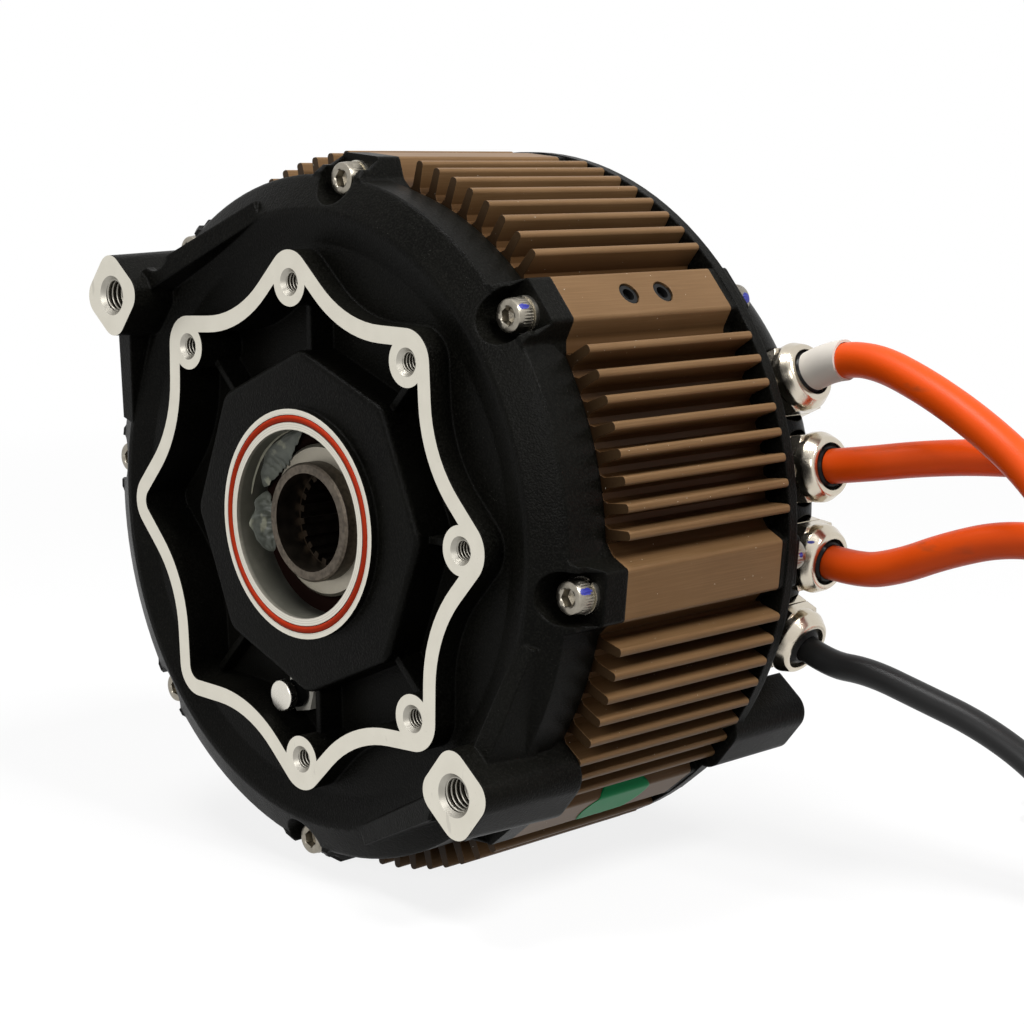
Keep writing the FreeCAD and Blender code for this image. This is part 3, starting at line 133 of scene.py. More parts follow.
def cable(name, radius, points):
    """A cable along its route, as one smooth open curve."""
    curve = bpy.data.curves.new(name, "CURVE")
    curve.dimensions = "3D"
    curve.bevel_depth = 1.0
    curve.bevel_resolution = 8
    curve.use_fill_caps = True
    spline = curve.splines.new("NURBS")
    spline.points.add(len(points) - 1)
    for place, point in zip(points, spline.points):
        point.co = (*place, 1)
        point.radius = radius * MM
    spline.order_u = 3
    spline.use_endpoint_u = True
    spline.resolution_u = 12
    return put(name, curve)


cables, exits = {}, {}
for name, (radius, angle, first_run, points) in CABLES.items():
    route = cable_points(radius, angle, first_run, points)
    exits[name] = tuple(route[0])
    cables[name] = cable(f"{name}_line", radius, route)
    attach(cables[name], "stator")
    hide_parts(name)
    print(name, "leaves its gland at", [round(value, 3) for value in route[0]])

# %% [markdown]
# ## Writing nodes as expressions
#
# A finish is a small net of nodes, and so is a Geometry Nodes tree. A wrapped socket keeps both readable:
# `1 - mask * 0.5` adds the Math nodes by itself, and one method adds any other node from its type, its
# settings and its sockets.

# %% Wrap the sockets
def arithmetic(operation):
    """Two methods that add a Math node, with the wire as its first value and as its second."""
    return (lambda wire, other: wire.maths(operation, wire, other),
            lambda wire, other: wire.maths(operation, other, wire))


class Wire:
    """An output socket; arithmetic on it adds Math nodes."""

    __add__, __radd__ = arithmetic("ADD")
    __sub__, __rsub__ = arithmetic("SUBTRACT")
    __mul__, __rmul__ = arithmetic("MULTIPLY")
    __truediv__, __rtruediv__ = arithmetic("DIVIDE")

    def __init__(self, tree, socket):
        self.tree = tree
        self.socket = socket

    def maths(self, operation, *values):
        """A Math node with these values."""
        node = self.tree.nodes.new("ShaderNodeMath")
        node.operation = operation
        for value, entry in zip(values, node.inputs):
            plug_in(self.tree, value, entry)
        return Wire(self.tree, node.outputs[0])

    def sine(self):
        return self.maths("SINE", self)

    def larger(self, other):
        return self.maths("MAXIMUM", self, other)

    def above(self, level, softness):
        """1 where the value is above a level, 0 below it, with a soft step between."""
        step = ((self - level) / softness + 0.5).larger(0)
        return step.maths("MINIMUM", step, 1)


def plug_in(tree, value, entry):
    """Link a wire to a socket, or set the socket's value."""
    if isinstance(value, Wire):
        tree.links.new(value.socket, entry)
    else:
        entry.default_value = value


class Net:
    """A tree of nodes that is being written."""

    def __init__(self, tree):
        self.tree = tree

    def node(self, kind, settings, sockets, output=0):
        """Any node: its type, its settings, its sockets' values or wires, and the output to go on with."""
        node = self.tree.nodes.new(kind)
        for name, value in settings.items():
            setattr(node, name, value)
        for name, value in sockets.items():
            plug_in(self.tree, value, node.inputs[name])
        return Wire(self.tree, node.outputs[output])


print("nets are written with Wire and Net")

# %% [markdown]
# ## Measures and patterns of a finish
#
# Every pattern reads Object coordinates in millimetres, so it has its real size and stays on the metal. The
# methods give what finishes are made of: clouds, specks, distances from an axis, and ragged dabs. The last
# one plugs in the colour, the roughness and the bumps.

# %% Write the patterns
class Finish(Net):
    """A material that is being written."""

    def __init__(self, name, colour, **constants):
        self.material = bpy.data.materials.new(name)
        self.material.use_nodes = True
        self.material.diffuse_color = (*colour, 1)
        super().__init__(self.material.node_tree)
        self.shader = self.tree.nodes["Principled BSDF"]
        self.surface("Base Color", (*colour, 1))
        for socket, value in constants.items():
            self.surface(socket.replace("_", " "), value)

    def surface(self, socket, value):
        """Set a socket of the surface shader."""
        plug_in(self.tree, value, self.shader.inputs[socket])

    def vector(self, operation, first, second, output=0):
        return self.node("ShaderNodeVectorMath", {"operation": operation}, {0: first, 1: second}, output)

    def place(self, stretch=(1, 1, 1), centre=(0, 0, 0)):
        """Object coordinates in millimetres, from a centre and stretched."""
        spot = self.node("ShaderNodeTexCoord", {}, {}, "Object")
        moved = self.vector("SUBTRACT", spot, [value * MM for value in centre])
        return self.vector("MULTIPLY", moved, [value / MM for value in stretch])

    def noise(self, size, detail=2, stretch=(1, 1, 1)):
        """Cloudy variation round 0.5, with patches of a size in millimetres."""
        return self.node("ShaderNodeTexNoise", {}, {"Vector": self.place(stretch), "Scale": 1 / size,
                                                    "Detail": detail})

    def specks(self, size, share):
        """1 in scattered specks of a size in millimetres, in this share of a grid four times as wide."""
        spots = self.node("ShaderNodeTexVoronoi", {}, {"Vector": self.place(), "Scale": 0.25 / size}, "Color")
        close = 1 - Wire(self.tree, spots.socket.node.outputs["Distance"]).above(0.12, 0.06)
        luck = self.node("ShaderNodeSeparateColor", {}, {"Color": spots})
        return close * luck.above(1 - share, 0.01)

    def away(self, centre, stretch=(1, 1, 1)):
        """Distance in millimetres from a point, or from an axis where a stretch is 0."""
        return self.vector("LENGTH", self.place(stretch, centre), (0, 0, 0), "Value")

    def reach(self):
        """Distance in millimetres from the motor's axis."""
        return self.away((0, 0, 0), (1, 0, 1))

    def dab(self, centre, size, ragged, stretch=(1, 1, 1)):
        """1 in a ragged spot round a point, in millimetres."""
        edge = self.away(centre, stretch) / size + (self.noise(size * 0.6, 3) - 0.5) * (ragged * 2)
        return 1 - edge.above(1, 0.12)

    def mix(self, factor, first, second):
        """Two colours by a factor."""
        first, second = [(*value, 1) if isinstance(value, tuple) else value for value in (first, second)]
        return self.node("ShaderNodeMix", {"data_type": "RGBA"}, {0: factor, 6: first, 7: second}, 2)

    def close(self, colour, roughness, *reliefs, edge=None):
        """The material; a relief is a height from 0 to 1 and its real height in mm, edge a radius in mm."""
        self.surface("Base Color", colour)
        self.surface("Roughness", roughness)
        below = {}
        if edge is not None:
            below["Normal"] = self.node("ShaderNodeBevel", {"samples": 6}, {"Radius": edge * MM})
        for height, real in reliefs:
            sockets = {"Height": height, "Distance": real * MM, **below}
            below["Normal"] = self.node("ShaderNodeBump", {}, sockets)
        self.surface("Normal", below["Normal"])
        return self.material


print("a finish is a Net with patterns")

# %% [markdown]
# ## Floor and light
#
# The photograph is a studio cut-out on pure white. The floor and the world are white for the camera and in
# reflections, while the lamps stay at a plain level, so that the colours read as they are. Near the motor
# the floor lets a little of its lit paper through, which keeps the shadow; further out it is white, so no
# horizon shows. It bounces little light back, and the two main lamps hang above and above right, which
# leaves the undersides of the fins dark.

# %% Lay the floor and set the lamps
def white_for_the_eye(net, shader, output, share):
    """Mix white over a shader for camera, glossy and transmission rays, by a share."""
    straight, mirrored, through = [net.node("ShaderNodeLightPath", {}, {}, f"Is {kind} Ray")
                                   for kind in ("Camera", "Glossy", "Transmission")]
    seen = straight.larger(mirrored).larger(through)
    kind = "ShaderNodeBackground" if shader.type == "BACKGROUND" else "ShaderNodeEmission"
    white = net.node(kind, {}, {"Color": (1, 1, 1, 1), "Strength": 1})
    lit = Wire(net.tree, shader.outputs[0])
    mixed = net.node("ShaderNodeMixShader", {}, {0: seen * share, 1: lit, 2: white})
    plug_in(net.tree, mixed, output.inputs[0])


scene.view_settings.view_transform = "Standard"
world = bpy.data.worlds.new("studio")
scene.world = world
world.use_nodes = True
sky = world.node_tree.nodes["Background"]
sky.inputs["Color"].default_value = (1, 1, 1, 1)
sky.inputs["Strength"].default_value = 0.1
white_for_the_eye(Net(world.node_tree), sky, world.node_tree.nodes["World Output"], 1)

FLOOR_HALF = 3
floor_mesh = bpy.data.meshes.new("studio_floor")
corners = [(x * FLOOR_HALF, y * FLOOR_HALF, FLOOR) for x, y in ((-1, -1), (1, -1), (1, 1), (-1, 1))]
floor_mesh.from_pydata(corners, [], [(0, 1, 2, 3)])
put("studio_floor", floor_mesh)
PAPER, PAPER_IN_BOUNCES, WHITE_NEARBY = (0.9, 0.9, 0.9), (0.2, 0.2, 0.2), 0.84
paper = Finish("white_paper", PAPER, Roughness=0.9)
far = paper.away((0, 50, 0)).above(700, 900)
bounced = paper.node("ShaderNodeLightPath", {}, {}, "Is Diffuse Ray")
paper.surface("Base Color", paper.mix(bounced, PAPER, PAPER_IN_BOUNCES))
white_for_the_eye(paper, paper.shader, paper.tree.nodes["Material Output"],
                  WHITE_NEARBY + far * (1 - WHITE_NEARBY))
floor_mesh.materials.append(paper.material)
LAMP_AIM = Vector((0, 0.05, 0))


def soft_lamp(name, place, size, power):
    """A wide area lamp that looks at the motor."""
    lamp = put(name, bpy.data.lights.new(name, "AREA"))
    lamp.data.shape = "RECTANGLE"
    lamp.data.size, lamp.data.size_y = size
    lamp.data.energy = power
    lamp.location = place
    lamp.rotation_euler = (LAMP_AIM - Vector(place)).to_track_quat("-Z", "Y").to_euler()


soft_lamp("above", (-0.1, -0.25, 1.25), (0.5, 0.4), 12)
soft_lamp("above_right", (0.95, 0.1, 1.05), (0.45, 0.4), 20)
soft_lamp("front", (0.45, -1.2, 0.5), (0.5, 0.5), 7)

# %% [markdown]
# ## Black powder coat
#
# The two cast covers are sprayed with a satin black powder that melts into a skin with a fine grain. A fine
# and a coarse bump give the grain, and scattered pale specks are dust. The tips of the grain are painted a
# little greyer, which is painted glint. The cast edges are soft, so the Bevel node rounds the normal near
# them.

# %% Write the black coat
def black_coat():
    finish = Finish("black_powder_coat", (0.0034, 0.0032, 0.0025), Specular_IOR_Level=0.042)
    dust = finish.specks(0.13, 0.06) * finish.noise(14).above(0.5, 0.3)
    smudge = finish.noise(22, 4).above(0.56, 0.3)
    grain = finish.noise(0.5, 1)
    skin = finish.mix(smudge, (0.0016, 0.0015, 0.0011), (0.0034, 0.0033, 0.0025))
    # Painted glints: the tips of the grain are a little greyer.
    skin = finish.mix(grain.above(0.58, 0.3), skin, (0.0068, 0.0066, 0.0054))
    skin = finish.mix(dust * 0.5, skin, (0.2, 0.19, 0.17))
    rough = 0.3 + smudge * 0.08 + finish.noise(0.8) * 0.1 + dust * 0.2
    return finish.close(skin, rough, (grain, 0.12), (finish.noise(6, 1), 0.03), edge=0.9)


# %% [markdown]
# ## Machined aluminium
#
# The star face, the lip and the faces of the bosses are milled bright after the coat is on. Milling leaves
# fine arcs, here as very flat ridges, and short scratches, and it opens a few dark pores of the casting. The
# lip was turned, so its rings run round the axis. The wall of the bore inside it is painted darker and less
# metallic further in, towards the seal, which is painted shade deep in the bore.

# %% Write the machined aluminium
def machined_aluminium():
    finish = Finish("machined_aluminium", (0.72, 0.7, 0.65), Metallic=1.0)
    arcs = (finish.away((0, 0, -40), (1, 0, 1)) * 14).sine() * 0.5 + 0.5
    pores = finish.specks(0.14, 0.07)
    clouds = finish.mix(finish.noise(5, 4), (0.6, 0.57, 0.49), (0.69, 0.66, 0.575))
    reach = finish.reach()
    turned = (reach * 11 + finish.noise(0.4) * 3).sine().above(0.3, 1.2) * (1 - reach.above(29, 0.5))
    # Painted shade in the bore: its wall is darker and less metallic further in, towards the seal.
    depth = finish.away((0, 0, 0), (0, 1, 0))
    painted_bore_shade = (1 - reach.above(24.9, 0.3)) * depth.above(0.8, 1.1) * (0.8 + finish.noise(5, 3) * 0.35)
    bore_shade_colour = finish.mix(depth.above(5.5, 6), (0.14, 0.138, 0.112), (0.055, 0.055, 0.046))
    scratches = finish.noise(2.2, 5, (1, 1, 0.25)).above(0.68, 0.04)
    marks = (pores * 0.7).larger(scratches * 0.25).larger(turned * 0.35)
    bright = finish.mix(marks, clouds, (0.3, 0.28, 0.25))
    finish.surface("Metallic", 1 - painted_bore_shade * 0.4)
    rough = 0.36 + arcs * 0.05 + finish.noise(2.5, 3) * 0.12
    return finish.close(finish.mix(painted_bore_shade, bright, bore_shade_colour), rough, (arcs, 0.0012))


# %% [markdown]
# ## Bronze anodised extrusion
#
# The housing is an extruded ring, anodised bronze. Extrusion draws fine lines along the motor's axis, so the
# noise is stretched along Y. Tiny pale nicks sit where the fins have been knocked. Deeper down between the
# fins the bronze is painted darker, which is painted shade, and the sawn front and rear ends get a darker
# copy of it from the same function, which is painted shade too.

# %% Write the bronze
# A shade below 1 gives a darker copy of the bronze, which is painted shade.
def bronze(name, shade=1.0):
    plain, dark, light, drawn, painted_root_shade = [tuple(value * shade for value in colour) for colour in (
        (0.15, 0.085, 0.037), (0.115, 0.063, 0.026), (0.165, 0.094, 0.042), (0.24, 0.145, 0.075),
        (0.05, 0.022, 0.007))]
    finish = Finish(name, plain, Metallic=0.05, Specular_IOR_Level=0.12)
    lines = finish.noise(0.35, 3, (1, 0.02, 1))
    reach = finish.reach()
    nicks = finish.specks(0.2, 0.03) * reach.above(88, 1)
    colour = finish.mix(lines.above(0.58, 0.3) * 0.25, finish.mix(finish.noise(18, 3), dark, light), drawn)
    # Painted shade: the colour darkens towards the roots of the fins, where shade falls between them.
    colour = finish.mix(0.75 - reach.above(91, 5) * 0.75, colour, painted_root_shade)
    return finish.close(finish.mix(nicks, colour, (0.75, 0.7, 0.6)), 0.36 + lines * 0.16 + nicks * 0.2,
                        (lines, 0.006), (finish.noise(0.4, 2), 0.003), edge=0.25)


# %% [markdown]
# ## Screw steel, nickel and shaft steel
#
# The socket screws are polished steel with a few blue paint marks of the assembly line. The cable glands
# are bright nickel, and one has a mark too. The shaft is hardened and ground, brownish grey. A mark is a
# place, a size, how ragged it is, and its stretch.

# %% Write the steels and the nickel
ALONG = (1, 0.45, 1)
BLUE_ON_SCREWS = [((72.3, 11.8, 57.6), 0.75, 0.45, ALONG), ((91.6, 12.1, -7.7), 0.9, 0.5, ALONG),
                  ((72.9, 92.5, 56), 1.5, 0.35), ((91.9, 91.9, -9.2), 0.7, 0.35)]
BLUE_ON_GLANDS = [((86.2, 103.3, -7.9), 0.6, 0.4, (0.6, 0.6, 1.6))]
BLUE = (0.012, 0.018, 0.24)


def painted(finish, marks, metal):
    """A metal's colour with the blue marks on it, and where they are."""
    paint = finish.dab(*marks[0])
    for mark in marks[1:]:
        paint = paint.larger(finish.dab(*mark))
    finish.surface("Metallic", 1 - paint)
    return finish.mix(paint, metal, BLUE), paint


def screw_steel():
    finish = Finish("screw_steel", (0.45, 0.41, 0.33), Metallic=1.0)
    wear = finish.noise(1.2, 4)
    steel = finish.mix(wear, (0.2, 0.18, 0.145), (0.36, 0.33, 0.275))
    colour, paint = painted(finish, BLUE_ON_SCREWS, steel)
    return finish.close(colour, 0.24 + wear * 0.16 + paint * 0.1, (finish.noise(0.25, 2), 0.004))


def nickel():
    finish = Finish("bright_nickel", (0.6, 0.54, 0.44), Metallic=1.0)
    haze = finish.noise(4, 4)
    plating = finish.mix(haze, (0.54, 0.48, 0.385), (0.66, 0.6, 0.5))
    colour, paint = painted(finish, BLUE_ON_GLANDS, plating)
    return finish.close(colour, 0.19 + haze.above(0.6, 0.3) * 0.1 + paint * 0.25,
                        (finish.noise(3.5, 1), 0.004), edge=0.45)


def shaft_steel():
    finish = Finish("shaft_steel", (0.16, 0.13, 0.1), Metallic=1.0)
    rings = finish.noise(0.5, 3, (0.02, 1, 0.02))
    stain = finish.noise(3, 4)
    soot = finish.noise(1.1, 5).above(0.55, 0.3) * 0.6
    steel = finish.mix(stain, (0.075, 0.06, 0.046), (0.15, 0.127, 0.1))
    return finish.close(finish.mix(soot, steel, (0.03, 0.025, 0.02)), 0.38 + rings * 0.2,
                        (rings, 0.006), (finish.noise(0.3, 2), 0.006), edge=0.25)


# %% [markdown]
# ## Rubber, silicone and plastic
#
# The sheaths, seals and sleeves differ in colour and gloss and share a fine, slightly uneven skin, so one
# function writes them all. The orange sheaths also carry faint brown rub marks.

# %% Write the rubbers
def soft_skin(name, colour, second, roughness, gloss=0.4, patch=9, grain=0.4, height=0.008, rubbed=0):
    """Rubber or plastic, from two close colours, its roughness, and the size and height of its grain."""
    finish = Finish(name, colour, Specular_IOR_Level=gloss)
    cloud = finish.noise(patch, 4)
    skin = finish.mix(cloud, colour, second)
    if rubbed:
        rub = finish.noise(5, 5, (0.35, 1, 1)).above(0.66, 0.12) * finish.noise(16).above(0.52, 0.2)
        skin = finish.mix(rub * rubbed, skin, (0.16, 0.05, 0.02))
    return finish.close(skin, roughness + cloud * 0.12, (finish.noise(grain, 3), height))


def old_grease():
    """Grey-green grease: cloudy, glossy, thin enough in places to see through."""
    finish = Finish("old_grease", (0.11, 0.12, 0.1), Specular_IOR_Level=0.3)
    cloud = finish.noise(3.5, 5)
    pale = finish.noise(2.4, 6, (1, 1, 0.5)).above(0.62, 0.12)
    body = finish.mix(cloud, (0.07, 0.078, 0.068), (0.17, 0.18, 0.15))
    finish.surface("Alpha", 0.8 + cloud * 0.3)
    return finish.close(finish.mix(pale * 0.7, body, (0.4, 0.4, 0.3)), 0.34,
                        (finish.noise(2.6, 3, (1, 1, 0.6)), 0.3), (finish.noise(0.7, 2), 0.02))


def plain_metal(name, dark, light, roughness, grain, height):
    """Parts of bare metal: cast, ground, wound or stacked, by the size and height of their grain."""
    finish = Finish(name, light, Metallic=1.0)
    cloud = finish.noise(3, 4)
    return finish.close(finish.mix(cloud, dark, light), roughness + cloud * 0.15,
                        (finish.noise(grain, 2), height))


METALS = {
    "tapped_hole": ((0.05, 0.045, 0.034), (0.13, 0.12, 0.095), 0.34, 0.4, 0.02),
    "countersink": ((0.26, 0.245, 0.21), (0.44, 0.42, 0.37), 0.34, 0.3, 0.01),
    # Inside the shaft's bore: near black steel, which is painted shade.
    "oiled_bore": ((0.05, 0.04, 0.03), (0.14, 0.115, 0.09), 0.3, 0.8, 0.03),
    "seal_steel": ((0.3, 0.275, 0.225), (0.38, 0.35, 0.29), 0.42, 0.5, 0.006),
    "bright_aluminium": ((0.62, 0.59, 0.52), (0.7, 0.67, 0.6), 0.2, 0.6, 0.001),
    "washer_steel": ((0.5, 0.47, 0.4), (0.62, 0.59, 0.52), 0.2, 0.6, 0.002),
    "bearing_steel": ((0.6, 0.6, 0.6), (0.75, 0.75, 0.75), 0.15, 0.4, 0.002),
    "lamination_steel": ((0.3, 0.3, 0.32), (0.45, 0.45, 0.47), 0.45, 0.5, 0.02),
    "magnet": ((0.42, 0.42, 0.42), (0.55, 0.55, 0.55), 0.3, 0.6, 0.004),
    "winding": ((0.45, 0.16, 0.06), (0.65, 0.28, 0.12), 0.28, 0.9, 0.2),
    "tinned_copper": ((0.4, 0.39, 0.37), (0.52, 0.51, 0.49), 0.3, 0.5, 0.004),
}
SKINS = {
    "red_rubber": ((0.33, 0.021, 0.003), (0.4, 0.028, 0.005), 0.55, 0.1),
    "brown_rubber": ((0.005, 0.002, 0.0015), (0.01, 0.004, 0.003), 0.5, 0.02),
    "black_rubber": ((0.005, 0.005, 0.005), (0.01, 0.01, 0.01), 0.2, 0.12),
    "vent_nut": ((0.5, 0.48, 0.42), (0.62, 0.6, 0.53), 0.2, 1.0),
    "dried_grease": ((0.2, 0.2, 0.15), (0.34, 0.33, 0.25), 0.45, 0.4, 2),
    "circuit_board": ((0.02, 0.14, 0.05), (0.03, 0.2, 0.08), 0.35),
    "orange_sheath": ((0.56, 0.05, 0.001), (0.64, 0.07, 0.003), 0.36, 0.2, 14, 0.7, 0.012, 0.5),
    "black_sheath": ((0.01, 0.01, 0.01), (0.018, 0.018, 0.018), 0.36, 0.2, 14, 0.7, 0.012),
    "white_sleeve": ((0.53, 0.49, 0.44), (0.61, 0.57, 0.51), 0.45, 0.2),
    "connector_plastic": ((0.016, 0.016, 0.017), (0.026, 0.026, 0.027), 0.4),
    "green_label": ((0.012, 0.27, 0.09), (0.018, 0.32, 0.11), 0.4, 0.08),
}
# The bronze at 0.3 of its colour, for the housing's flat front and rear ends, is painted shade.
FINISHES = {"black_coat": black_coat(), "machined": machined_aluminium(), "nickel": nickel(),
            "bronze_anodised": bronze("bronze_anodised"), "bronze_sawn": bronze("bronze_sawn", 0.3),
            "screw_steel": screw_steel(), "shaft_steel": shaft_steel(), "grease": old_grease()}
FINISHES |= {name: plain_metal(name, *row) for name, row in METALS.items()}
FINISHES |= {name: soft_skin(name, *row) for name, row in SKINS.items()}
print(len(FINISHES), "finishes")

# %% [markdown]
# ## Smooth copies of the solids
#
# A solid arrives as loose triangles. A copy whose doubles are merged can be shaded smooth, with its edges
# kept crisp where two faces meet at an angle, and it can carry several finishes. The copy stands for the
# solid, which stays hidden in its place.

# %% Copy a solid
SLOT_OF = {part["node"]: part["material_slot"] for part in frame["record"]["subparts"]}
BODY_OF = {node: body for body, nodes in frame["record"]["behaviour"]["bodies"].items() for node in nodes}


def add_piece(name, mesh, body, replaced=()):
    """A piece of the motor: its mesh, the body it rides on, and the solids it stands for."""
    piece = put(name, mesh)
    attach(piece, body)
    if replaced:
        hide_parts(*replaced)
    return piece


def plain_mesh(name, shape):
    """Keep a bmesh as a mesh."""
    mesh = bpy.data.meshes.new(name)
    shape.to_mesh(mesh)
    shape.free()
    return mesh


def bridge(shape, loops, closed=True):
    """Faces between neighbouring loops of points; a loop is a ring, or an open line."""
    for loop, after in zip(loops, loops[1:]):
        for place in range(len(loop) if closed else len(loop) - 1):
            beyond = (place + 1) % len(loop)
            shape.faces.new((loop[place], loop[beyond], after[beyond], after[place]))


def merged_copy(node):
    """A copy of a solid with its doubles merged."""
    shape = bmesh.new()
    shape.from_mesh(frame["nodes"][node].data)
    bmesh.ops.remove_doubles(shape, verts=shape.verts, dist=2e-6)
    bmesh.ops.dissolve_degenerate(shape, edges=shape.edges, dist=1e-6)
    return plain_mesh(f"{node}_dressed", shape)


def smooth(mesh, crisp):
    """Shade a mesh smooth where it curves and crisp where its faces meet at an angle."""
    shape = bmesh.new()
    shape.from_mesh(mesh)
    for face in shape.faces:
        face.smooth = True
        face.material_index = 0
    for edge in shape.edges:
        edge.smooth = len(edge.link_faces) == 2 and edge.calc_face_angle(0) < math.radians(crisp)
    shape.to_mesh(mesh)
    shape.free()


def dress(node, finishes, choose=None, crisp=25, mesh=None):
    """A smooth copy in place of a solid; choose picks a finish by a face's middle and direction, in mm."""
    mesh = mesh or merged_copy(node)
    smooth(mesh, crisp)
    for finish in finishes:
        mesh.materials.append(FINISHES[finish])
    if choose is not None:
        for face in mesh.polygons:
            face.material_index = finishes.index(choose(face.center / MM, face.normal))
    piece = add_piece(f"{node}_dressed", mesh, BODY_OF[node], [node])
    piece.modifiers.new("even_shading", "WEIGHTED_NORMAL").keep_sharp = True


print(len(SLOT_OF), "solids have a slot")

# %% [markdown]
# ## Front cover
#
# The coat covers the cast skin, while every face that something seats on was machined afterwards. A face of
# the copy is bright when its middle and its direction fit one of those cuts: the star at y = 0, the lip and
# its bore, and the boss faces at y = -8. The walls of the threaded holes are darker, with a brighter
# countersink.
#
# Each screw pocket runs out through the land it is in and leaves a thin wall on either side. Casting has no
# such sharp corners, so a prism across each land takes them off. Beside the two mounting bosses there is one
# only, and a bore through the boss's web makes way for the screw.

# %% Dress the front cover
BOSSES, FLANGE_HOLES = (88, (139.5, -40.5)), (62, (0, 45, 90, 135, -45, -90))
BOSS_HOLE, BOSS_DEPTH, FLANGE_HOLE, FLANGE_DEPTH = 5.45, 20, 3.6, 15
STAR_FACE, FRONT_BOSS_FACE, REAR_BOSS_FACE = 0, -8, 112
AXIS, LIP_REACH, LIP_BORE_DEPTH, CAST_EDGE = (0, (0,)), 29, 17.6, 32


def circle(radius, angles, station=0):
    """Points on a circle about the motor's axis, in mm."""
    return [about_axis(angle, radius, station) for angle in angles]


def near(middle, places, reach):
    """Whether a point is this close to an axis through one of the places on a circle."""
    return any((middle - place).xz.length < reach for place in circle(*places))


def at_station(middle, station):
    """Whether a point lies in the plane at this station along the axis."""
    return abs(middle.y - station) < 0.1


def rod(name, middle, along, radius, length):
    """A cylinder from its middle, direction, radius and length, in mm."""
    turn = Matrix.Translation(middle * MM) @ along.to_track_quat("Z", "Y").to_matrix().to_4x4()
    shape = bmesh.new()
    bmesh.ops.create_cone(shape, cap_ends=True, segments=64, radius1=radius * MM, radius2=radius * MM,
                          depth=length * MM, matrix=turn)
    return plain_mesh(name, shape)


def drop_crumbs(mesh, fewest=12):
    """Take away the islands of a few faces that a cut can leave."""
    shape = bmesh.new()
    shape.from_mesh(mesh)
    bmesh.ops.remove_doubles(shape, verts=shape.verts, dist=2e-6)
    unseen, crumbs = set(shape.faces), []
    while unseen:
        island = [unseen.pop()]
        for face in island:
            beyond = {other for edge in face.edges for other in edge.link_faces} & unseen
            unseen -= beyond
            island.extend(beyond)
        if len(island) < fewest:
            crumbs += island
    bmesh.ops.delete(shape, geom=crumbs, context="FACES")
    shape.to_mesh(mesh)
    shape.free()


def evaluated(name, piece):
    """The mesh that the modifiers of a piece make; the piece goes."""
    mesh = bpy.data.meshes.new_from_object(piece.evaluated_get(bpy.context.evaluated_depsgraph_get()))
    bpy.data.objects.remove(piece)
    mesh.name = name
    return mesh


def cut(mesh, cutters):
    """A mesh less its cutters, as a plain mesh."""
    body = put("cut_body", mesh)
    tools = [put("cutter", cutter) for cutter in cutters]
    for tool in tools:
        step = body.modifiers.new("cut", "BOOLEAN")
        step.object = tool
        step.solver = "EXACT"
    result = evaluated(mesh.name, body)
    for tool in tools:
        bpy.data.objects.remove(tool)
    drop_crumbs(result)
    return result


FIRST_LAND, LAND_STEP, LANDS, LANDS_BY_BOSSES = 38.81, 45, 8, (2, 6)
POCKET_CORNER, PRISM_SIDE = ((91, 5), (91, 12.5), (93.4, 15.95), (98, 15.95), (98, 5)), 9
SCREW_CIRCLE, SCREW_WAY, WAY_MIDDLE, WAY_LENGTH = 88.2, 4.9, 3.7, 24.5


def pocket_corners():
    """A prism across each land, where its pocket leaves the thin corners."""
    shape = bmesh.new()
    for number in range(LANDS):
        angle = FIRST_LAND + LAND_STEP * number
        sides = (-PRISM_SIDE, 0 if number in LANDS_BY_BOSSES else PRISM_SIDE)
        ends = [[shape.verts.new(about_axis(angle, *corner, aside) * MM) for corner in POCKET_CORNER]
                for aside in sides]
        for end in ends:
            shape.faces.new(end)
        bridge(shape, ends)
    bmesh.ops.recalc_face_normals(shape, faces=shape.faces)
    return plain_mesh("pocket_corners", shape)


def front_cover_finish(middle, direction):
    """Bright where the cast cover was machined, black elsewhere."""
    seats = direction.y < -0.9 and (at_station(middle, STAR_FACE) or at_station(middle, FRONT_BOSS_FACE))
    if seats or near(middle, AXIS, LIP_REACH) and middle.y < LIP_BORE_DEPTH:
        return "machined"
    in_flange = near(middle, FLANGE_HOLES, FLANGE_HOLE) and middle.y < FLANGE_DEPTH
    if in_flange or near(middle, BOSSES, BOSS_HOLE) and middle.y < BOSS_DEPTH:
        return "countersink" if direction.y < -0.3 else "tapped_hole"
    return "black_coat"


way_angles = [FIRST_LAND + LAND_STEP * number for number in LANDS_BY_BOSSES]
ways = [rod("screw_way", middle, Vector((0, 1, 0)), SCREW_WAY, WAY_LENGTH)
        for middle in circle(SCREW_CIRCLE, way_angles, WAY_MIDDLE)]
trimmed = cut(merged_copy("front_cover"), [pocket_corners()] + ways)
dress("front_cover", ["black_coat", "machined", "countersink", "tapped_hole"], front_cover_finish,
      CAST_EDGE, trimmed)
print("front cover:", len(trimmed.polygons), "faces")

# %% [markdown]
# ## Rear cover
#
# The photograph shows the rear edge of the drum cast with a wide round, and only the bosses under the four
# cable glands at full height. A ring with that round on its inside, less the four bosses, is cut away from
# the copy.

# %% Round the drum and dress the rear cover
DRUM_REACH, DRUM_END, DRUM_ROUND = 79.5, 122, 15
RING_CLEARANCE, RING_WIDTH = 0.3, 4
GLAND_BOSS, BOSS_MIDDLE, BOSS_LENGTH = 9.6, 74, 40


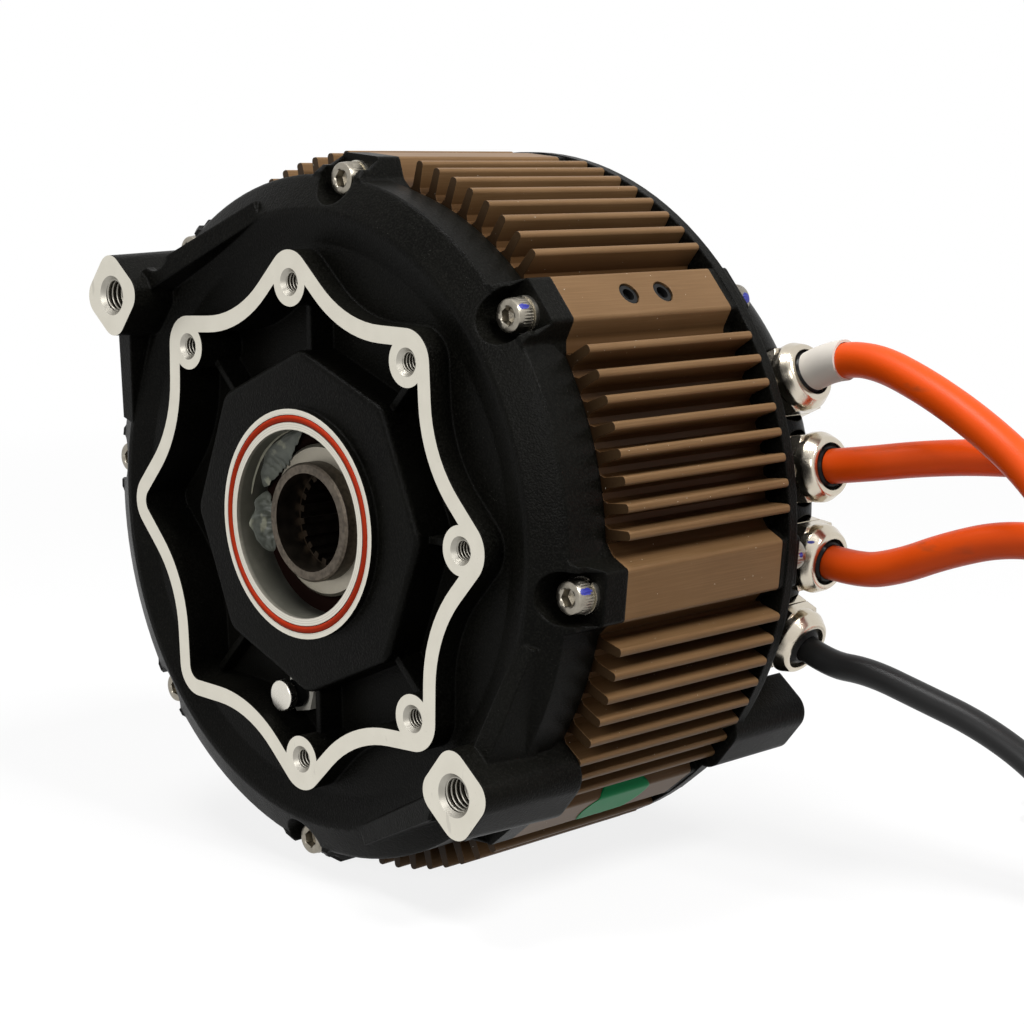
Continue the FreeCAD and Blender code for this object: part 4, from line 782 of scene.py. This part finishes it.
def drum_ring(steps=14, spokes=180):
    """What the round takes off the drum: an arc on the inside, and straight sides outside the metal."""
    inner, start = DRUM_REACH - DRUM_ROUND, DRUM_END - DRUM_ROUND
    arc = [math.radians(2 + 86 * step / steps) for step in range(steps + 1)]
    arc = [(inner + DRUM_ROUND * math.cos(angle), start + DRUM_ROUND * math.sin(angle)) for angle in arc]
    near_side, far_side = inner - RING_WIDTH, DRUM_REACH + RING_WIDTH
    low, high = start - RING_WIDTH, DRUM_END + RING_WIDTH
    profile = [(DRUM_REACH + RING_CLEARANCE, low), *arc, (near_side, DRUM_END + RING_CLEARANCE)]
    profile += [(near_side, high), (far_side, high), (far_side, low)]
    shape = bmesh.new()
    loops = [[shape.verts.new(about_axis(360 * spoke / spokes, *point) * MM) for point in profile]
             for spoke in range(spokes)]
    bridge(shape, loops + loops[:1])
    bmesh.ops.recalc_face_normals(shape, faces=shape.faces)
    return plain_mesh("drum_ring", shape)


def gland_boss(angle):
    """A cylinder round the axis of a gland."""
    middle = about_axis(angle, BOSS_MIDDLE, GLAND_STATION)
    return rod("gland_boss", middle, outward(angle), GLAND_BOSS, BOSS_LENGTH)


def rear_cover_finish(middle, direction):
    """The rear boss faces and their holes are machined."""
    seats = direction.y > 0.9 and at_station(middle, REAR_BOSS_FACE) and near(middle, BOSSES, 12)
    return "machined" if seats or near(middle, BOSSES, BOSS_HOLE) and middle.y > 80 else "black_coat"


drum_waste = cut(drum_ring(), [gland_boss(angle) for _, angle, _, _ in CABLES.values()])
rounded = cut(merged_copy("rear_cover"), [drum_waste])
dress("rear_cover", ["black_coat", "machined"], rear_cover_finish, CAST_EDGE, rounded)
print("rear cover:", len(rounded.polygons), "faces")

# %% [markdown]
# ## The other solids
#
# Most solids already have their final shape. The ones in sight get a smooth copy in their finish, and the
# ones inside the motor keep their solid and get the finish by its slots.

# %% Dress the other solids
# Faces that look along the axis, the sawn ends, take the darker bronze, which is painted shade.
dress("finned_housing", ["bronze_anodised", "bronze_sawn"],
      lambda middle, direction: "bronze_sawn" if abs(direction.y) > 0.9 else "bronze_anodised")
SEEN = ["land_plugs", "face_o_ring", "vent_plug_seal", "vent_plug_cap", "shaft_seal",
        "cable_sleeve", "cable_lug_1", "cable_lug_2", "cable_lug_3", "signal_connector"]
SEEN += [f"gland_{part}_{number}" for part in ("body", "nut", "seal") for number in (1, 2, 3, 4)]
OWN_FINISH = {"seal_sleeve": "seal_steel", "vent_plug_body": "vent_nut", "front_lock_washers": "washer_steel",
              "rear_lock_washers": "washer_steel"}
for node in (*SEEN, *OWN_FINISH):
    dress(node, [OWN_FINISH.get(node, SLOT_OF[node])])
# Inside the shaft's bore the steel is near black, which is painted shade.
SHAFT_BORE = 12.95
dress("rotor_shaft", ["shaft_steel", "oiled_bore"],
      lambda middle, direction: "oiled_bore" if near(middle, AXIS, SHAFT_BORE) else "shaft_steel")
BY_THEMSELVES = ["front_cover", "rear_cover", "finned_housing", "rotor_shaft", "front_cover_screws",
                 "rear_cover_screws"]
HIDDEN = [node for node in frame["nodes"] if node not in (*SEEN, *OWN_FINISH, *BY_THEMSELVES, *CABLES)]
for node in HIDDEN:
    slots = frame["nodes"][node].data.materials
    slots.clear()
    slots.append(FINISHES[SLOT_OF[node]])
for name, line in cables.items():
    line.data.materials.append(FINISHES[SLOT_OF[name]])
print(len(HIDDEN), "solids keep their shape:", ", ".join(HIDDEN))

# %% [markdown]
# ## What the cables are
#
# Each cable's real length is listed with the dressed pieces that are fixed to it: a ring lug on a phase
# cable, a connector on the signal cable, and a white sleeve. Its thickness is the radius given with its route
# above.

CABLE_ENDS = {"phase_cable_1": (0.333, ["cable_lug_1", "cable_sleeve"]),
              "phase_cable_2": (0.295, ["cable_lug_2"]),
              "phase_cable_3": (0.247, ["cable_lug_3"]),
              "signal_cable": (0.150, ["signal_connector"])}
for name, (length, fittings) in CABLE_ENDS.items():
    print(name, "is", length, "m long and carries", " and ".join(fittings))

# %% [markdown]
# ## Growing what repeats
#
# Screws, threads and knurls repeat along circles, which is work for Geometry Nodes. A tree is written with
# the same wires as a finish. Its inputs have names, and a modifier finds them by their sockets' identifiers.
# When it has run, its result is kept as a plain mesh.

# %% Write a growing tree
class Growth(Net):
    """A Geometry Nodes tree with named inputs."""

    def __init__(self, name, entries):
        super().__init__(bpy.data.node_groups.new(name, "GeometryNodeTree"))
        for label, kind in {"Geometry": "Geometry", **entries}.items():
            self.tree.interface.new_socket(label, in_out="INPUT", socket_type=f"NodeSocket{kind}")
        self.tree.interface.new_socket("Geometry", in_out="OUTPUT", socket_type="NodeSocketGeometry")
        self.start = self.tree.nodes.new("NodeGroupInput")
        self.end = self.tree.nodes.new("NodeGroupOutput")

    def entry(self, label):
        return Wire(self.tree, self.start.outputs[label])

    def close(self, shape, finish):
        """End the tree: real copies instead of instances, in their finish."""
        real = self.node("GeometryNodeRealizeInstances", {}, {"Geometry": shape})
        dressed = self.node("GeometryNodeSetMaterial", {}, {"Geometry": real, "Material": finish})
        plug_in(self.tree, dressed, self.end.inputs[0])

    def grow(self, name, values, points=((0, 0, 0),)):
        """Run the tree on a few points, in mm, and keep the plain mesh."""
        seeds = bpy.data.meshes.new(f"{name}_points")
        seeds.from_pydata([Vector(point) * MM for point in points], [], [])
        grower = put(f"{name}_grower", seeds)
        modifier = grower.modifiers.new("growth", "NODES")
        modifier.node_group = self.tree
        for item in self.tree.interface.items_tree:
            if item.in_out == "INPUT" and item.name in values:
                modifier[item.identifier] = values[item.name]
        return evaluated(name, grower)


print("trees are written with Growth")

# %% [markdown]
# ## Cover screws
#
# Sixteen M5 socket-head screws hold the covers. Their heads have a straight knurl below a smooth, rounded
# band, and a hexagon socket. One screw is spun from rings of 72 points, because 72 divides by both the 36
# ridges and the six corners.

# %% Make a screw
SIDES = 72
KNURL = [4.08 if side % 2 else 4.28 for side in range(SIDES)]
SOCKET = [2.0 / math.cos(math.radians((side * 5 + 30) % 60 - 30)) for side in range(SIDES)]
SHANK = ((-18.6, 0.1), (-18.6, 2.2), (-18.2, 2.5), (0, 2.5), (0, 3.9))
BAND = ((3.5, 4.14), (4.45, 4.12), (4.8, 3.95), (5.0, 3.6), (5.0, 2.5))


def spun_screw():
    """Rings of a screw along Z, in mm: z = 0 is under the head and z = 5 its top."""
    rings = [(z, [radius] * SIDES) for z, radius in SHANK] + [(0.35, KNURL), (3.3, KNURL)]
    rings += [(z, [radius] * SIDES) for z, radius in BAND]
    rings += [(4.75, [radius * 1.02 for radius in SOCKET]), (2.5, SOCKET), (1.9, [0.1] * SIDES)]
    turns = [math.radians(side * 5) for side in range(SIDES)]
    shape = bmesh.new()
    loops = [[shape.verts.new((radius * MM * math.cos(turn), radius * MM * math.sin(turn), z * MM))
              for turn, radius in zip(turns, radii)] for z, radii in rings]
    bridge(shape, loops)
    shape.faces.new(list(reversed(loops[0])))
    shape.faces.new(loops[-1])
    bmesh.ops.recalc_face_normals(shape, faces=shape.faces)
    mesh = plain_mesh("screw", shape)
    smooth(mesh, 30)
    return mesh


screw = put("screw", spun_screw())
print("one screw:", len(screw.data.polygons), "faces")

# %% [markdown]
# The tree copies the screw to the points of a circle, gives each copy its own turn, and stands the circle
# upright at its cover.

# %% Copy the screws round the covers
circle_tree = Growth("screw_circle", {"Screw": "Object", "Count": "Int", "Circle Radius": "Float",
                                      "First Angle": "Float", "Seat": "Float", "Seed": "Int",
                                      "Tilt": "Rotation"})
node, entry = circle_tree.node, circle_tree.entry
places = node("GeometryNodeMeshCircle", {}, {"Vertices": entry("Count"), "Radius": entry("Circle Radius")})
spin = node("FunctionNodeRandomValue", {"data_type": "FLOAT"}, {2: 0.0, 3: 6.28, "Seed": entry("Seed")}, 1)
own_turn, first_turn, seat_place = [node("ShaderNodeCombineXYZ", {}, {"Z": value})
                                    for value in (spin, entry("First Angle"), entry("Seat"))]
one_screw = node("GeometryNodeObjectInfo", {}, {"Object": entry("Screw")}, "Geometry")
screws = node("GeometryNodeInstanceOnPoints", {}, {"Points": places, "Instance": one_screw,
                                                   "Rotation": own_turn})
turned = node("GeometryNodeTransform", {}, {"Geometry": screws, "Translation": seat_place,
                                            "Rotation": first_turn})
stood = node("GeometryNodeTransform", {}, {"Geometry": turned, "Rotation": entry("Tilt")})
circle_tree.close(stood, FINISHES["screw_steel"])

COVERS = (("front", FIRST_LAND, -14.8, 90, 7), ("rear", -FIRST_LAND, 89.2, -90, 11))
for side, first, seat, tilt, seed in COVERS:
    mesh = circle_tree.grow(f"{side}_screws", {
        "Screw": screw, "Count": LANDS, "Circle Radius": SCREW_CIRCLE * MM, "Seed": seed,
        "First Angle": math.radians(first), "Seat": seat * MM, "Tilt": (math.radians(tilt), 0, 0)})
    add_piece(f"{side}_knurled_screws", mesh, "stator", [f"{side}_cover_screws"])
    print(side, "screws:", len(mesh.polygons), "faces")
bpy.data.objects.remove(screw)

# %% [markdown]
# ## Threads
#
# A tapped hole shows the crests of its thread. A helix with a small round section, swept by the tree, gives
# those of the M6 threads in the star and the M10 threads in the bosses.

# %% Grow the threads
thread_tree = Growth("thread_crests", {"Core Radius": "Float", "Pitch": "Float", "Turns": "Float",
                                       "Crest": "Float", "Tilt": "Rotation"})
node, entry = thread_tree.node, thread_tree.entry
helix = node("GeometryNodeCurveSpiral", {}, {
    "Resolution": 24, "Rotations": entry("Turns"), "Start Radius": entry("Core Radius"),
    "End Radius": entry("Core Radius"), "Height": entry("Pitch") * entry("Turns")})
section = node("GeometryNodeCurvePrimitiveCircle", {"mode": "RADIUS"}, {"Resolution": 6,
                                                                       "Radius": entry("Crest")})
crest = node("GeometryNodeCurveToMesh", {}, {"Curve": helix, "Profile Curve": section, "Fill Caps": True})
crests = node("GeometryNodeInstanceOnPoints", {}, {"Points": entry("Geometry"), "Instance": crest,
                                                   "Rotation": entry("Tilt")})
thread_tree.close(crests, FINISHES["countersink"])

THREADS = {
    "flange_threads": (FLANGE_HOLES, 1.0, -90, 2.62, 1.0, 11, 0.36),
    "front_boss_threads": (BOSSES, -6.9, -90, 4.42, 1.5, 15, 0.52),
    "rear_boss_threads": (BOSSES, 110.9, 90, 4.42, 1.5, 15, 0.52),
}
for name, (places, start, tilt, radius, pitch, turns, crest_size) in THREADS.items():
    mesh = thread_tree.grow(name, {"Core Radius": radius * MM, "Pitch": pitch * MM, "Turns": float(turns),
                                   "Crest": crest_size * MM, "Tilt": (math.radians(tilt), 0, 0)},
                            circle(*places, start))
    mesh.shade_smooth()
    add_piece(name, mesh, "stator")
    print(name, len(mesh.polygons), "faces")

# %% [markdown]
# ## A round sticker and old grease
#
# A green inspection sticker, 22 mm wide, is pressed round the land at the lower right. It is a disc drawn on
# the unrolled surface of the land and wound round its two rounded edges, so it follows the metal like vinyl.

# %% Wind the sticker round its land
LAND_REACH, FLAT_HALF, EDGE_CURVE, SLOPE_TURN = 94.3, 5.594, 1.2, math.radians(67.8)
STICKER_CENTRE, STICKER_RADIUS, STICKER_LIFT, STICKER_FILM = (0.9, 55.0), 10.9, 0.09, 0.08


def on_land(across, along):
    """A point of the unrolled land in space: across its flat, then round its edge and down its slope."""
    side = math.copysign(1, across)
    past = max(abs(across) - FLAT_HALF, 0)
    turn = min(past / EDGE_CURVE, SLOPE_TURN)
    down = max(past - EDGE_CURVE * SLOPE_TURN, 0)
    sweep = EDGE_CURVE + STICKER_LIFT
    reach = LAND_REACH - EDGE_CURVE + sweep * math.cos(turn) - down * math.sin(SLOPE_TURN)
    beside = side * (min(abs(across), FLAT_HALF) + sweep * math.sin(turn) + down * math.cos(SLOPE_TURN))
    return about_axis(FIRST_LAND - 2 * LAND_STEP, reach, along, beside) * MM


def disc_on_land(rings=16, spokes=72):
    """The sticker as rings of faces that share the land's bends."""
    shape = bmesh.new()
    across, along = STICKER_CENTRE
    middle = shape.verts.new(on_land(across, along))
    turns = [2 * math.pi * spoke / spokes for spoke in range(spokes)]
    radii = [STICKER_RADIUS * ring / rings for ring in range(1, rings + 1)]
    loops = [[shape.verts.new(on_land(across + radius * math.cos(turn), along + radius * math.sin(turn)))
              for turn in turns] for radius in radii]
    for spoke in range(spokes):
        shape.faces.new((middle, loops[0][(spoke + 1) % spokes], loops[0][spoke]))
    bridge(shape, loops)
    return shape


def layer(name, shape, finish, thickness):
    """A thin smooth piece on the motor, from its middle surface and its thickness in mm."""
    mesh = plain_mesh(name, shape)
    mesh.shade_smooth()
    mesh.materials.append(FINISHES[finish])
    solid = add_piece(name, mesh, "stator").modifiers.new("thickness", "SOLIDIFY")
    solid.thickness = thickness * MM
    solid.offset = 0
    print(name, len(mesh.polygons), "faces")


layer("inspection_sticker", disc_on_land(), "green_label", STICKER_FILM)

# %% [markdown]
# Old grease sits in the corner between the bore and the shaft seal, on the left as the photograph looks in.
# Each piece is a ribbon round the bore: it climbs the wall and reaches in over the seal, and Perlin noise
# makes its rims ragged. There are a hanging film, a thicker lump below it, and a dried bead along the wall.
# Their rows hold the finish, the seat's station, the two angles, the climb and the spread in mm, how much of
# the corner stays open, how blunt the ends are, and the seed.

# %% Smear the grease
BORE_WALL, SEAL_FACE, GREASE_SKIN = 24.44, 9.95, 0.12


def grease_ribbon(seat, first, last, climb, spread, openness, bluntness, seed, steps=90, across=14):
    """Grease on the bore's wall from a seat, between two angles in degrees."""
    shape = bmesh.new()
    rows = []
    for step in range(steps + 1):
        part = step / steps
        angle = first + (last - first) * part
        taper = math.sin(math.pi * part) ** bluntness
        ragged = [1 + 0.4 * noise.noise(Vector((part * reach, seed, reach))) for reach in (5, 12)]
        low = Vector((BORE_WALL, seat - climb * taper * ragged[0]))
        far = Vector((BORE_WALL - spread * taper * ragged[1], seat))
        corner = Vector((BORE_WALL, seat))
        pull = corner.lerp((low + far) / 2, openness)
        row = []
        for place in range(across + 1):
            t = place / across
            spot = low * (1 - t) ** 2 + pull * (2 * t * (1 - t)) + far * t ** 2
            waves = noise.noise(Vector((part * 7, t * 2.5, seed)))
            lump = abs(waves * 0.15 * climb * math.sin(math.pi * t) * taper)
            row.append(shape.verts.new(about_axis(angle, spot.x - lump, spot.y - lump) * MM))
        rows.append(row)
    bridge(shape, rows, closed=False)
    return shape


GREASE = [("grease_film", "grease", 8.6, 106, 164, 3.4, 5.4, 0.35, 0.7, 3),
          ("grease_lump", "grease", SEAL_FACE, 167, 206, 5.4, 3.8, 0.6, 0.5, 8),
          ("grease_bead", "dried_grease", 4.7, 106, 168, 0.45, 0.3, 0.5, 0.3, 5)]
for name, finish, *sizes in GREASE:
    layer(name, grease_ribbon(*sizes), finish, GREASE_SKIN)

# %% [markdown]
# ## Last update
#
# The last cell brings the view layer up to date.

# %% Finish
bpy.context.view_layer.update()
